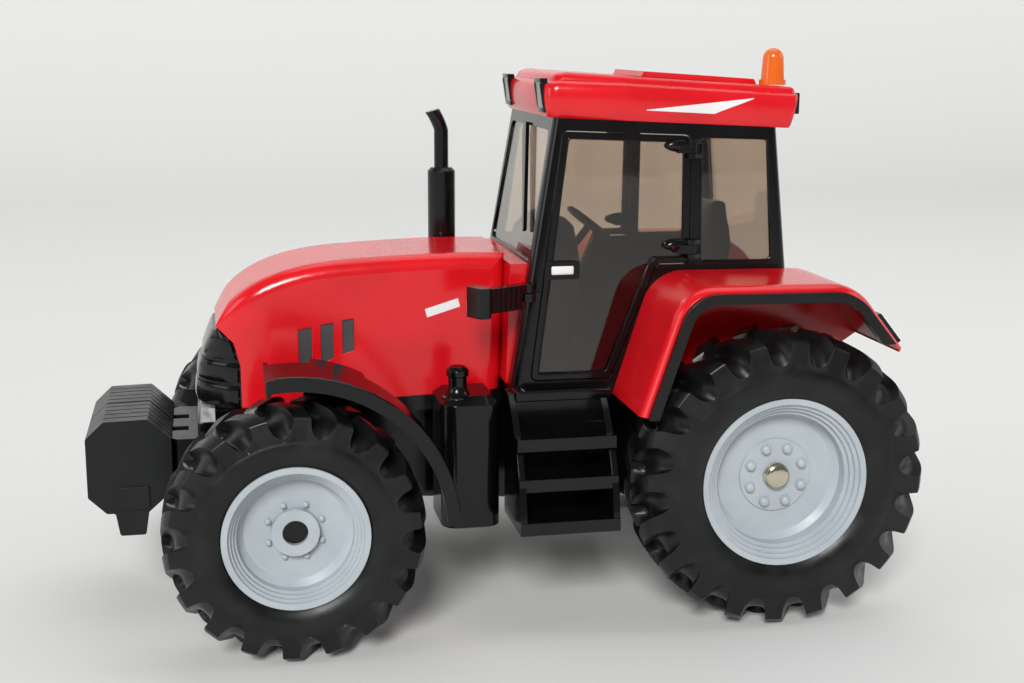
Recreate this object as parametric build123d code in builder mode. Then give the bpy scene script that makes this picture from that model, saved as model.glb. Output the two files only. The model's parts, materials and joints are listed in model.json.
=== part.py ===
"""Toy farm tractor at about 1:16, as an assembly of moulded pieces.

Frame: millimetres, +X forward, +Y to the driver's left, +Z up. The origin is on the floor,
at the middle of the length and width.
"""

import math
import os

from build123d import *

os.makedirs("parts", exist_ok=True)

# Driving dimensions of the whole toy
overall_length = 301.0
wheelbase = 174.6
rear_tyre_radius = 54.5
front_tyre_radius = 45.0
rear_axle_x = rear_tyre_radius - overall_length / 2
front_axle_x = rear_axle_x + wheelbase
front_end_x = overall_length / 2
wall = 2.0

# Wheels
rear_tyre_outer_y = 86.6
rear_tyre_inner_y = 57.5
rear_rim_radius = 31.0
rear_rim_face_y = 85.0
rear_disc_y = 73.6
rear_hub_radius = 13.6
rear_bead_depth = 2.8
front_tyre_outer_y = 87.0
front_tyre_inner_y = 58.5
front_rim_radius = 25.2
front_rim_face_y = 85.8
front_disc_y = 75.6
front_hub_radius = 8.3
front_bead_depth = 1.9
axle_rod_radius = 2.0
spindle_radius = 4.3
running_gap = 0.1
flange_drop = 2.2
bead_drop = 3.6
bolt_count = 8
rear_lug_count = 20
front_lug_count = 18

# Front axle and steering
kingpin_y = 50.0
kingpin_radius = 1.8
beam_top_z = 52.0
beam_bottom_z = 38.0
ear_thickness = 3.0
ear_radius = 3.6
steering_gap = 0.3
steering_arm_back = 15.0
arm_thickness = 2.4
arm_pin_radius = 1.2
tie_rod_bottom_z = 37.5

# Front fenders, which steer with the wheels
front_fender_radius = 54.0
front_fender_sheet = 2.0
front_fender_inner_y = 62.5
front_fender_outer_y = 87.5
front_fender_start = 81.0
front_fender_end = 178.0

# Chassis
spine_half = 18.0
deck_half = 26.8
deck_rear_z = 79.9
deck_front_z = 76.0
deck_rear_x = -3.0
deck_front_x = 104.0
gearbox_rear_x = -123.0
bracket_front_x = 120.0
bracket_top_z = 65.5

# Bonnet
bonnet_half_width = 27.5
nose_x = 110.5

# Cab
floor_z = 84.0
floor_thickness = 4.5
cab_top_z = 184.0
cab_floor_half = 44.5
cab_top_half = 40.4
cab_floor_front_x = -3.9
cab_floor_rear_x = -114.5
cab_top_front_x = -20.4
cab_top_rear_x = -105.1
cab_corner = 4.0
panel = 3.0
glass_recess = 0.8
glass_thickness = 1.4
roof_front_z = 182.5
roof_rear_z = 178.4
door_gap = 0.4
door_frame_width = 2.2
post_x = -71.6
hinge_x = -71.3
hinge_stand_off = 2.4
hinge_radius = 1.7
hinge_pin_radius = 0.8
hinge_levels = (134.0, 171.0)

# Rear fenders
fender_outer_y = 84.0
fender_sheet = 2.2

written = []


def save(shape, label):
    """Name a finished piece and write it as its own STEP file."""
    shape.label = label
    export_step(shape, f"parts/{label}.step")
    written.append(label)


def save_pair(left_shape, label):
    """Write a left-hand piece and its mirror image about the tractor's middle."""
    save(left_shape, f"{label}_left")
    save(mirror(left_shape, about=Plane.XZ), f"{label}_right")


def side(y):
    """Sketch plane at y: sketch x is +X, sketch y is +Z, and extrusion runs towards -Y."""
    return Plane.XZ.offset(-y)


def outline(points, radii=0.0, shrink=0.0):
    """Closed polygon face through the points, with rounded corners, shrunk all round."""
    with BuildSketch() as shape:
        with BuildLine():
            Polyline(*points, close=True)
        make_face()
        if radii:
            fillet(shape.vertices(), radii)
        if shrink:
            offset(amount=-shrink)
    return shape.sketch


def slab(face, y_near, y_far):
    """Solid of a side-view face between two y planes, y_near being the larger."""
    with BuildPart() as solid:
        with BuildSketch(side(y_near)):
            add(face)
        extrude(amount=y_near - y_far)
    return solid.part


# Wheels: each profile is drawn as (radius, y) in the XY plane and turned about the Y axis
def make_rim(radius, bead_depth, ring_step, face_y, inner_y, disc_y, hub_radius, hub_face_y, bore_radius):
    """Dished rim: flange, three stepped rings down to the barrel, disc, hub and sleeve."""
    ring_drop = 1.5
    dish = radius - 2.2 - 3 * ring_step
    barrel = radius - bead_depth
    sleeve = bore_radius + 2.0
    with BuildPart() as rim:
        with BuildSketch(Plane.XY):
            with BuildLine():
                Polyline(
                    (bore_radius, hub_face_y),
                    (hub_radius, hub_face_y),
                    (hub_radius, disc_y),
                    (dish - 2.4, disc_y + 0.4),
                    (dish, disc_y + 2.2),
                    (dish, face_y - 3 * ring_drop),
                    (dish + ring_step, face_y - 3 * ring_drop),
                    (dish + ring_step, face_y - 2 * ring_drop),
                    (dish + 2 * ring_step, face_y - 2 * ring_drop),
                    (dish + 2 * ring_step, face_y - ring_drop),
                    (dish + 3 * ring_step, face_y - ring_drop),
                    (dish + 3 * ring_step, face_y),
                    (radius, face_y),
                    (radius, face_y - flange_drop),
                    (barrel, face_y - bead_drop),
                    (barrel, inner_y),
                    (dish - 1.2, inner_y),
                    (dish - 1.2, disc_y - 1.6),
                    (sleeve, disc_y - 1.6),
                    (sleeve, inner_y + 1.0),
                    (bore_radius, inner_y + 1.0),
                    close=True,
                )
            make_face()
        revolve(axis=Axis.Y)
    return rim.part


def make_studs(bolt_circle, bolt_radius, base_y, height):
    """Ring of moulded bolt heads that stand on a rim's disc."""
    with BuildPart() as studs:
        with BuildSketch(Plane(origin=(0, base_y, 0), x_dir=(1, 0, 0), z_dir=(0, 1, 0))):
            with PolarLocations(bolt_circle, bolt_count, start_angle=180 / bolt_count):
                Circle(bolt_radius)
        extrude(amount=height)
    return studs.part


def tread_section(lug_count, y, lead, half_top, half_foot, tip_radius, groove_radius):
    """Outline of the tread at one place across the tyre: lugs standing on the carcass."""
    corners = (
        (-half_foot, groove_radius),
        (-half_top, tip_radius),
        (half_top, tip_radius),
        (half_foot, groove_radius),
    )
    points = []
    for i in range(lug_count):
        for angle, radius in corners:
            turn = math.radians(i * 360 / lug_count + lead + angle)
            points.append((radius * math.cos(turn), radius * math.sin(turn)))
    with BuildSketch(Plane(origin=(0, y, 0), x_dir=(0, 0, 1), z_dir=(0, 1, 0))) as section:
        with BuildLine():
            Polyline(*points, close=True)
        make_face()
    return section.sketch


def tread_half(lug_count, radius, half, lug_height):
    """Outer half of the tread, lofted from the middle of the tyre out to its shoulder.

    Every lug leads forward at the middle, runs back towards the shoulder and widens there.
    A quarter of a pitch is each side of a lug's foot at the middle, so both halves meet.
    """
    pitch = 360 / lug_count
    groove = radius - lug_height
    stations = (
        (0.0, 0.36, 0.16, 0.25, radius, groove),
        (0.32 * half, 0.15, 0.17, 0.27, radius, groove),
        (0.66 * half, -0.05, 0.18, 0.30, radius - 0.3, groove - 0.02 * radius),
        (half - 0.4, -0.20, 0.21, 0.33, 0.94 * radius, 0.79 * radius),
    )
    with BuildPart() as tread:
        for y, lead, half_top, half_foot, tip_radius, groove_radius in stations:
            angles = (lead * pitch, half_top * pitch, half_foot * pitch)
            add(tread_section(lug_count, y, *angles, tip_radius, groove_radius))
        loft(ruled=True)
    return tread.part


def make_tyre(lug_count, radius, lug_height, outer_y, inner_y, flange_radius, bead_depth, flange_y):
    """Tyre with two rows of hooked lugs, half a pitch apart, and a bulging outer wall."""
    middle_y = (outer_y + inner_y) / 2
    half = (outer_y - inner_y) / 2
    flange = flange_y - middle_y
    bead_radius = flange_radius - bead_depth
    wall_top = 0.77 * radius
    outer_tread = tread_half(lug_count, radius, half, lug_height)
    inner_tread = mirror(outer_tread, about=Plane.XZ).rotate(Axis.Y, 180 / lug_count)
    with BuildPart() as tyre:
        add(outer_tread)
        add(inner_tread)
        with BuildSketch(Plane.XY):
            with BuildLine():
                bulge = ThreePointArc(
                    (flange_radius, half - 0.9),
                    ((flange_radius + wall_top) / 2, half),
                    (wall_top, half - 0.4),
                )
                Polyline(bulge @ 1, (wall_top, half - 3.0), (flange_radius, half - 3.0), bulge @ 0)
            make_face()
        revolve(axis=Axis.Y)
        with BuildSketch(Plane.XY):
            with BuildLine():
                Polyline(
                    (0, -half - 1.0),
                    (bead_radius, -half - 1.0),
                    (bead_radius, flange - bead_drop),
                    (flange_radius, flange - flange_drop),
                    (flange_radius, half + 1.0),
                    (0, half + 1.0),
                    close=True,
                )
            make_face()
        revolve(axis=Axis.Y, mode=Mode.SUBTRACT)
    return tyre.part.moved(Location((0, middle_y, 0)))


rear_hub = Location((rear_axle_x, 0, rear_tyre_radius))
with BuildPart() as rear_rim:
    add(
        make_rim(
            rear_rim_radius, rear_bead_depth, 1.45, rear_rim_face_y, rear_tyre_inner_y + 3.0, rear_disc_y,
            rear_hub_radius, rear_disc_y + 0.8, axle_rod_radius + running_gap,
        )
    )
    add(make_studs(10.6, 1.7, rear_disc_y + 0.6, 1.7))
save_pair(rear_rim.part.moved(rear_hub), "rear_rim")
rear_tyre = make_tyre(
    rear_lug_count, rear_tyre_radius, 5.3, rear_tyre_outer_y, rear_tyre_inner_y, rear_rim_radius,
    rear_bead_depth, rear_rim_face_y,
)
save_pair(rear_tyre.moved(rear_hub), "rear_tyre")

front_hub = Location((front_axle_x, 0, front_tyre_radius))
with BuildPart() as front_rim:
    add(
        make_rim(
            front_rim_radius, front_bead_depth, 1.0, front_rim_face_y, front_tyre_inner_y + 3.0, front_disc_y,
            front_hub_radius, front_disc_y + 3.4, spindle_radius + running_gap,
        )
    )
    add(make_studs(9.9, 1.0, front_disc_y - 0.2, 1.4))
save_pair(front_rim.part.moved(front_hub), "front_rim")
front_tyre = make_tyre(
    front_lug_count, front_tyre_radius, 4.3, front_tyre_outer_y, front_tyre_inner_y, front_rim_radius,
    front_bead_depth, front_rim_face_y,
)
save_pair(front_tyre.moved(front_hub), "front_tyre")

# Steel rod through the rear hubs, with a pressed-on domed cap at each end
cap_radius = 4.8
cap_face_y = rear_disc_y + 3.6
with BuildPart() as rear_axle:
    with BuildSketch(Plane.XY):
        with BuildLine():
            Line((0, -cap_face_y), (0, cap_face_y))
            Line((0, cap_face_y), (cap_radius - 1.4, cap_face_y))
            Line((cap_radius - 1.4, cap_face_y), (cap_radius, cap_face_y - 1.2))
            Line((cap_radius, cap_face_y - 1.2), (cap_radius, rear_disc_y + 1.2))
            Line((cap_radius, rear_disc_y + 1.2), (axle_rod_radius, rear_disc_y + 1.2))
            Line((axle_rod_radius, rear_disc_y + 1.2), (axle_rod_radius, -rear_disc_y - 1.2))
            Line((axle_rod_radius, -rear_disc_y - 1.2), (cap_radius, -rear_disc_y - 1.2))
            Line((cap_radius, -rear_disc_y - 1.2), (cap_radius, 1.2 - cap_face_y))
            Line((cap_radius, 1.2 - cap_face_y), (cap_radius - 1.4, -cap_face_y))
            Line((cap_radius - 1.4, -cap_face_y), (0, -cap_face_y))
        make_face()
    revolve(axis=Axis.Y)
save(rear_axle.part.moved(rear_hub), "rear_axle")

# Front axle beam: a rigid bar with a fork for a knuckle at each end
beam_half = kingpin_y - 6.0
with BuildPart() as front_axle:
    with BuildSketch(side(beam_half)):
        with Locations((front_axle_x, (beam_top_z + beam_bottom_z) / 2)):
            RectangleRounded(13, beam_top_z - beam_bottom_z, 2.5)
    extrude(amount=2 * beam_half)
    for ear_z in (beam_top_z - ear_thickness, beam_bottom_z):
        with BuildSketch(Plane.XY.offset(ear_z)):
            for way in (1, -1):
                with Locations((front_axle_x, way * (kingpin_y - 4.0))):
                    Rectangle(2 * ear_radius, 8.0)
                with Locations((front_axle_x, way * kingpin_y)):
                    Circle(ear_radius)
        extrude(amount=ear_thickness)
    with BuildSketch(Plane.XY.offset(beam_bottom_z)):
        for way in (1, -1):
            with Locations((front_axle_x, way * kingpin_y)):
                Circle(kingpin_radius + running_gap)
    extrude(amount=beam_top_z - beam_bottom_z, mode=Mode.SUBTRACT)
save(front_axle.part, "front_axle")

# Steering knuckle: kingpin, spindle, and an arm that reaches back to its pin
knuckle_bottom_z = beam_bottom_z + ear_thickness + steering_gap
knuckle_top_z = beam_top_z - ear_thickness - steering_gap
knuckle_half = 4.0
knuckle_outer_y = kingpin_y + 7.4
arm_x = front_axle_x - steering_arm_back
spindle_end_y = front_disc_y + 1.4
with BuildPart() as knuckle:
    with BuildSketch(Plane.XY.offset(knuckle_bottom_z)):
        with Locations((front_axle_x, kingpin_y)):
            Circle(knuckle_half)
        with Locations((front_axle_x, (kingpin_y + knuckle_outer_y) / 2)):
            Rectangle(2 * knuckle_half, knuckle_outer_y - kingpin_y)
    extrude(amount=knuckle_top_z - knuckle_bottom_z)
    with BuildSketch(Plane.XY.offset(beam_bottom_z)):
        with Locations((front_axle_x, kingpin_y)):
            Circle(kingpin_radius)
    extrude(amount=beam_top_z - beam_bottom_z)
    with BuildSketch(side(spindle_end_y)):
        with Locations((front_axle_x, front_tyre_radius)):
            Circle(spindle_radius)
    extrude(amount=spindle_end_y - knuckle_outer_y)
    with BuildSketch(Plane.XY.offset(knuckle_bottom_z)):
        with BuildLine():
            Polyline(
                (front_axle_x - 2.0, kingpin_y + 3.4),
                (arm_x, kingpin_y + 2.6),
                (arm_x, kingpin_y - 2.6),
                (front_axle_x - 2.0, kingpin_y - 3.4),
                close=True,
            )
        make_face()
        with Locations((arm_x, kingpin_y)):
            Circle(2.6)
    extrude(amount=arm_thickness)
    with BuildSketch(Plane.XY.offset(tie_rod_bottom_z)):
        with Locations((arm_x, kingpin_y)):
            Circle(arm_pin_radius)
    extrude(amount=knuckle_bottom_z - tie_rod_bottom_z)
save_pair(knuckle.part, "knuckle")

# Tie rod between the two steering arms
with BuildPart() as tie_rod:
    with BuildSketch(Plane.XY.offset(tie_rod_bottom_z)):
        with Locations((arm_x, 0)):
            Rectangle(3.2, 2 * kingpin_y)
        for way in (1, -1):
            with Locations((arm_x, way * kingpin_y)):
                Circle(2.7)
                Circle(arm_pin_radius + running_gap, mode=Mode.SUBTRACT)
    extrude(amount=knuckle_bottom_z - tie_rod_bottom_z - steering_gap)
save(tie_rod.part, "tie_rod")


# Front fender: a sheet bent round the wheel, with a bracket down to the knuckle
def fender_arc(inner, outer, start, end):
    """Ring sector between two radii about the front hub, in degrees from +X over the top."""

    def at(radius, angle):
        return (
            front_axle_x + radius * math.cos(math.radians(angle)),
            front_tyre_radius + radius * math.sin(math.radians(angle)),
        )

    middle = (start + end) / 2
    with BuildSketch() as sector:
        with BuildLine():
            ThreePointArc(at(inner, start), at(inner, middle), at(inner, end))
            Line(at(inner, end), at(outer, end))
            ThreePointArc(at(outer, end), at(outer, middle), at(outer, start))
            Line(at(outer, start), at(inner, start))
        make_face()
    return sector.sketch


fender_top = front_fender_radius + front_fender_sheet
strap_y = kingpin_y + 4.2
strap_thickness = 2.2
with BuildPart() as front_fender:
    with BuildSketch(side(front_fender_outer_y)):
        add(fender_arc(front_fender_radius, fender_top, front_fender_start, front_fender_end))
    extrude(amount=front_fender_outer_y - front_fender_inner_y)
    with BuildSketch(side(front_fender_outer_y)):
        add(fender_arc(front_fender_radius - 2.6, fender_top, front_fender_start, front_fender_end))
    extrude(amount=1.6)
    with BuildSketch(Plane.XY.offset(front_tyre_radius)):
        with BuildLine():
            Polyline(
                (front_axle_x - 70.0, front_fender_outer_y - 7.5),
                (front_axle_x - 43.0, front_fender_inner_y),
                (front_axle_x - 43.0, front_fender_inner_y - 2.0),
                (front_axle_x - 70.0, front_fender_inner_y - 2.0),
                close=True,
            )
        make_face()
    extrude(amount=40.0, both=True, mode=Mode.SUBTRACT)
    with BuildSketch(side(front_fender_inner_y)):
        add(fender_arc(front_fender_radius, fender_top, 98.0, 118.0))
    extrude(amount=front_fender_inner_y - strap_y)
    with BuildSketch(side(strap_y + strap_thickness)):
        with BuildLine():
            Polyline(
                (front_axle_x - knuckle_half, knuckle_top_z),
                (front_axle_x + knuckle_half, knuckle_top_z),
                (front_axle_x - 7.6, front_tyre_radius + 53.6),
                (front_axle_x - 25.2, front_tyre_radius + 47.8),
                close=True,
            )
        make_face()
    extrude(amount=strap_thickness)
save_pair(front_fender.part, "front_fender")

# Chassis: gearbox spine, deck under the bonnet and rear axle tubes in one moulding
tube_end_y = rear_tyre_inner_y + 3.4
with BuildPart() as chassis:
    with BuildSketch(side(spine_half)) as spine_side:
        with BuildLine():
            Polyline(
                (102.0, 41.0),
                (102.0, deck_front_z - 4.0),
                (deck_rear_x, deck_rear_z - 4.0),
                (-6.0, floor_z - floor_thickness),
                (gearbox_rear_x, floor_z - floor_thickness),
                (gearbox_rear_x, 42.0),
                (-84.0, 34.0),
                (-6.0, 34.0),
                (54.0, 38.0),
                (66.0, beam_top_z),
                (92.0, beam_top_z),
                (92.0, 41.0),
                close=True,
            )
        make_face()
    extrude(amount=2 * spine_half)
    with BuildSketch(side(deck_half)):
        with BuildLine():
            Polyline(
                (deck_rear_x, deck_rear_z),
                (deck_front_x, deck_front_z),
                (deck_front_x, deck_front_z - 6.0),
                (deck_rear_x, deck_rear_z - 6.0),
                close=True,
            )
        make_face()
    extrude(amount=2 * deck_half)
    with BuildSketch(Plane.XZ):
        with Locations((rear_axle_x, rear_tyre_radius)):
            Circle(10.0)
    extrude(amount=45.0, both=True)
    with BuildSketch(Plane.XZ):
        with Locations((rear_axle_x, rear_tyre_radius)):
            Circle(6.5)
    extrude(amount=tube_end_y, both=True)
    with BuildSketch(Plane.XZ):
        with Locations((rear_axle_x, rear_tyre_radius)):
            Circle(axle_rod_radius)
    extrude(amount=tube_end_y, both=True, mode=Mode.SUBTRACT)
save(chassis.part, "chassis")

# Engine under the bonnet, one plain mass standing on the deck
deck_slope = (deck_front_z - deck_rear_z) / (deck_front_x - deck_rear_x)
engine_rear_x = 4.0
engine_front_x = 84.0
with BuildPart() as engine_block:
    with BuildSketch(side(16.0)):
        with BuildLine():
            Polyline(
                (engine_rear_x, deck_rear_z + deck_slope * (engine_rear_x - deck_rear_x)),
                (engine_front_x, deck_rear_z + deck_slope * (engine_front_x - deck_rear_x)),
                (engine_front_x, 104.0),
                (engine_rear_x, 112.0),
                close=True,
            )
        make_face()
    extrude(amount=32.0)
save(engine_block.part, "engine_block")

# Bonnet: its side outline crossed with its plan outline, hollowed from below
bonnet_rear_top = (-4.8, 131.6)


def bonnet_rear_at(z):
    """Where the bonnet's rear edge is at a height."""
    lean = (bonnet_rear_top[0] - deck_rear_x) / (bonnet_rear_top[1] - deck_rear_z)
    return deck_rear_x + lean * (z - deck_rear_z)


def bonnet_form(inset, drop=0.0):
    """The bonnet's outer form, shrunk by inset all round and carried down by drop."""
    half = bonnet_half_width - inset
    crown = 5.5 - inset
    with BuildPart() as form:
        with BuildSketch(side(40.0)):
            with BuildLine():
                top = Spline(
                    (bonnet_rear_top[0] + inset, bonnet_rear_top[1] - inset),
                    (16.5, 131.9 - inset),
                    (44.0, 131.0 - inset),
                    (71.8, 128.2 - inset),
                    (88.0, 122.6 - inset),
                    (97.6, 115.5 - inset),
                )
                nose = Spline(top @ 1, (102.2 - inset, 107.5), (107.6 - inset, 95.0), (nose_x - inset, 77.0))
                Polyline(
                    nose @ 1,
                    (nose_x - inset, deck_front_z - drop),
                    (deck_front_x, deck_front_z - drop),
                    (deck_rear_x + inset, deck_rear_z - drop),
                    top @ 0,
                )
            make_face()
        extrude(amount=80.0)
        with BuildSketch(Plane.XY.offset(60.0)):
            with BuildLine():
                flank = Line((-10.0, half), (80.0, half - 0.6))
                curve = Spline(
                    flank @ 1, (96.0, half - 3.2), (106.0 - inset, half - 11.0), (nose_x - inset, 0),
                    tangents=((1, -0.02), (0, -1)),
                )
                mirror(flank, about=Plane.XZ)
                mirror(curve, about=Plane.XZ)
                Line((-10.0, half), (-10.0, -half))
            make_face()
        extrude(amount=90.0, mode=Mode.INTERSECT)
        upper = form.edges().filter_by(lambda e: e.center().Z > 100 and abs(e.center().Y) > 10)
        fillet(upper.filter_by(lambda e: e.length > 12), crown)
    return form.part


# The dark insert fills everything of the nose ahead of this side-view outline
grille_edge = [(94.2, 60.0), (94.2, 92.0), (96.4, 100.6), (102.6, 106.4), (120.0, 106.4), (120.0, 60.0)]
grille_region = slab(outline(grille_edge), 40.0, -40.0)
slot_points = (
    [(68.0, 91.2), (73.0, 89.6), (73.0, 105.4), (68.0, 106.2)],
    [(60.0, 94.2), (64.8, 92.7), (64.8, 106.9), (60.0, 107.7)],
    [(52.4, 97.0), (56.8, 95.6), (56.8, 108.4), (52.4, 109.0)],
)
slot_depth = 1.0
with BuildPart() as bonnet:
    add(bonnet_form(0.0))
    add(bonnet_form(wall, 8.0), mode=Mode.SUBTRACT)
    add(grille_region, mode=Mode.SUBTRACT)
    for points in slot_points:
        add(slab(outline(points), 40.0, bonnet_half_width - slot_depth - 0.6), mode=Mode.SUBTRACT)
        add(slab(outline(points), slot_depth + 0.6 - bonnet_half_width, -40.0), mode=Mode.SUBTRACT)
save(bonnet.part, "bonnet")

with BuildPart() as bonnet_vents:
    for points in slot_points:
        near = bonnet_half_width - slot_depth
        add(slab(outline(points), near, near - 0.6))
        add(slab(outline(points), 0.6 - near, -near))
save(bonnet_vents.part, "bonnet_vents")

# Grille insert: a shell set a little back from the bonnet's skin, with proud cross bars
bar_levels = (79.2, 84.8, 90.4, 96.0, 101.6)
bar_height = 1.1
with BuildPart() as grille_bars:
    for level in bar_levels:
        with BuildSketch(Plane.XY.offset(level)):
            with Locations((100.0, 0)):
                Rectangle(40.0, 80.0)
        extrude(amount=bar_height)
with BuildPart() as grille:
    add(bonnet_form(0.1))
    add(grille_bars.part, mode=Mode.INTERSECT)
    add(bonnet_form(0.8))
    add(bonnet_form(wall + 0.8, 8.0), mode=Mode.SUBTRACT)
    add(grille_region, mode=Mode.INTERSECT)
save(grille.part, "grille")

# Headlamps stand on the bracket, under the nose
with BuildPart() as headlamps:
    for way in (1, -1):
        with BuildSketch(side(way * 14.0 + 6.5)):
            with BuildLine():
                Polyline(
                    (deck_front_x, bracket_top_z),
                    (nose_x - 0.5, bracket_top_z),
                    (nose_x - 1.6, deck_front_z - 0.4),
                    (deck_front_x, deck_front_z - 0.4),
                    close=True,
                )
            make_face()
        extrude(amount=13.0)
save(headlamps.part, "headlamps")

# Front bracket with a notched top, and the stack of weight plates hung on it
bracket_half = 25.0
with BuildPart() as front_bracket:
    with BuildSketch(side(bracket_half)):
        with BuildLine():
            Polyline(
                (102.0, 42.0),
                (bracket_front_x, 42.0),
                (bracket_front_x, bracket_top_z),
                (102.0, bracket_top_z),
                close=True,
            )
        make_face()
    extrude(amount=2 * bracket_half)
    chamfer(front_bracket.edges().filter_by(Axis.Z), 2.0)
    with BuildSketch(Plane.XY.offset(bracket_top_z)):
        with Locations((bracket_front_x - 3.0, 9.0), (bracket_front_x - 3.0, -9.0)):
            Rectangle(6.0, 6.0)
    extrude(amount=-5.0, mode=Mode.SUBTRACT)
save(front_bracket.part, "front_bracket")

weight_half = 29.0
weight_points = [
    (bracket_front_x, 49.0),
    (bracket_front_x, 66.6),
    (128.4, 74.6),
    (144.0, 74.2),
    (front_end_x, 68.0),
    (front_end_x, 46.0),
    (144.0, 39.6),
    (141.0, 39.6),
    (139.6, 31.0),
    (130.4, 31.0),
    (129.0, 39.6),
    (124.0, 44.0),
]
weight_outline = outline(weight_points, 1.0)
weight_boss = outline([(128.6, 41.0), (128.6, 49.6), (139.6, 49.6), (139.6, 41.0)], 0.8)
plate_count = 10
plate_pitch = 2 * weight_half / plate_count
groove_width = 0.9
groove_depth = 1.3
groove_foot_z = 52.0
with BuildPart() as weight_grooves:
    for i in range(1, plate_count):
        middle = i == plate_count // 2
        half_width = groove_width if middle else groove_width / 2
        depth = 2.4 if middle else groove_depth
        groove_y = i * plate_pitch - weight_half
        add(slab(weight_outline, groove_y + half_width, groove_y - half_width))
        inner_outline = outline(weight_points, 0.0, depth)
        add(slab(inner_outline, groove_y + half_width, groove_y - half_width), mode=Mode.SUBTRACT)
    with BuildSketch(Plane.XY.offset(groove_foot_z)):
        with Locations((132.0, 0)):
            Rectangle(60.0, 80.0)
    extrude(amount=-40.0, mode=Mode.SUBTRACT)
with BuildPart() as front_weight:
    add(slab(weight_outline, weight_half, -weight_half))
    add(weight_grooves.part, mode=Mode.SUBTRACT)
    for way in (1, -1):
        add(slab(weight_boss, way * weight_half + 1.0, way * weight_half - 1.0))
save(front_weight.part, "front_weight")

# Exhaust beside the bonnet's right flank: elbow, silencer and a pipe curved forward
exhaust_x = 10.0
exhaust_y = -33.6
exhaust_flange_y = -27.4
tip_cutter = [(4.0, 184.6), (22.0, 179.4), (22.0, 192.0), (4.0, 192.0)]
with BuildPart() as exhaust:
    with BuildSketch(Plane.XY.offset(100.0)):
        with Locations((exhaust_x, exhaust_y)):
            Circle(4.0)
    extrude(amount=18.0)
    with BuildSketch(side(exhaust_flange_y)):
        with Locations((exhaust_x, 104.0)):
            Circle(3.4)
    extrude(amount=exhaust_flange_y - exhaust_y)
    with BuildSketch(Plane.XY.offset(118.0)):
        with Locations((exhaust_x, exhaust_y)):
            Circle(5.6)
    extrude(amount=41.0)
    chamfer(exhaust.edges().filter_by(GeomType.CIRCLE).group_by(Axis.Z)[-1], 1.4)
    with BuildLine() as pipe_path:
        pipe_rise = Line((exhaust_x, exhaust_y, 158.0), (exhaust_x, exhaust_y, 174.0))
        pipe_bend = RadiusArc(pipe_rise @ 1, (exhaust_x + 4.2, exhaust_y, 182.6), 13.0)
    with BuildSketch(Plane.XY.offset(158.0)):
        with Locations((exhaust_x, exhaust_y)):
            Circle(2.9)
    sweep(path=pipe_path.line)
    add(slab(outline(tip_cutter), -20.0, -50.0), mode=Mode.SUBTRACT)
save(exhaust.part, "exhaust")


# Cab: nested tapering blocks give every wall, and the glass set within the walls
def cab_block(inset):
    """Tapering block of the cab, from floor to roof, with every side moved in by inset."""
    with BuildPart() as block:
        with BuildSketch(side(60.0)):
            with BuildLine():
                Polyline(
                    (cab_floor_front_x - inset, floor_z),
                    (cab_top_front_x - inset, cab_top_z),
                    (cab_top_rear_x + inset, cab_top_z),
                    (cab_floor_rear_x + inset, floor_z),
                    close=True,
                )
            make_face()
        extrude(amount=120.0)
        with BuildSketch(Plane.YZ.offset(-130.0)):
            with BuildLine():
                Polyline(
                    (cab_floor_half - inset, floor_z),
                    (cab_top_half - inset, cab_top_z),
                    (inset - cab_top_half, cab_top_z),
                    (inset - cab_floor_half, floor_z),
                    close=True,
                )
            make_face()
        extrude(amount=140.0, mode=Mode.INTERSECT)
        corners = block.edges().filter_by(lambda e: abs(e.center().Z - (floor_z + cab_top_z) / 2) < 5.0)
        fillet(corners.filter_by(lambda e: abs(e.center().Y) > 30.0), cab_corner - inset)
    return block.part


def cab_ring(outside, inside):
    """The layer of the cab's walls between two insets."""
    with BuildPart() as ring:
        add(cab_block(outside))
        add(cab_block(inside), mode=Mode.SUBTRACT)
    return ring.part


def cab_side_y(z):
    """Outer face of the cab's side wall at a height."""
    return cab_floor_half + (cab_top_half - cab_floor_half) * (z - floor_z) / (cab_top_z - floor_z)


def across(points, radii, shrink, near, far):
    """Solid along X of an outline given as (y, z) points."""
    with BuildPart() as solid:
        with BuildSketch(Plane.YZ.offset(far)):
            add(outline(points, radii, shrink))
        extrude(amount=near - far)
    return solid.part


def keep(layer, region):
    """The part of a layer inside a region."""
    with BuildPart() as piece:
        add(layer)
        add(region, mode=Mode.INTERSECT)
    return piece.part


roof_slope = (roof_front_z - roof_rear_z) / (cab_top_front_x - cab_top_rear_x)


def roof_seat_z(x):
    """Height at which the cab's walls end and the roof begins, at x."""
    return roof_front_z + roof_slope * (x - cab_top_front_x)


walls = cab_ring(0.0, panel)
glazing = cab_ring(glass_recess, glass_recess + glass_thickness)
door_points = [(-10.5, 86.2), (-22.7, 178.0), (post_x, 176.0), (post_x, 128.4), (-58.8, 128.4), (-41.3, 86.2)]
door_corners = 2.5
quarter_points = [(-75.6, 129.0), (-75.4, 175.4), (-101.4, 174.4), (-104.0, 129.0)]
windscreen_points = [(36.8, 130.0), (33.4, 177.8), (-33.4, 177.8), (-36.8, 130.0)]
rear_window_points = [(37.2, 112.0), (35.8, 173.2), (-35.8, 173.2), (-37.2, 112.0)]
above_roof = slab(
    outline(
        [
            (0.0, roof_seat_z(0.0)),
            (0.0, 200.0),
            (-130.0, 200.0),
            (-130.0, roof_seat_z(-130.0)),
        ]
    ),
    60.0,
    -60.0,
)
side_lean = math.atan((cab_floor_half - cab_top_half) / (cab_top_z - floor_z))


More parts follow.
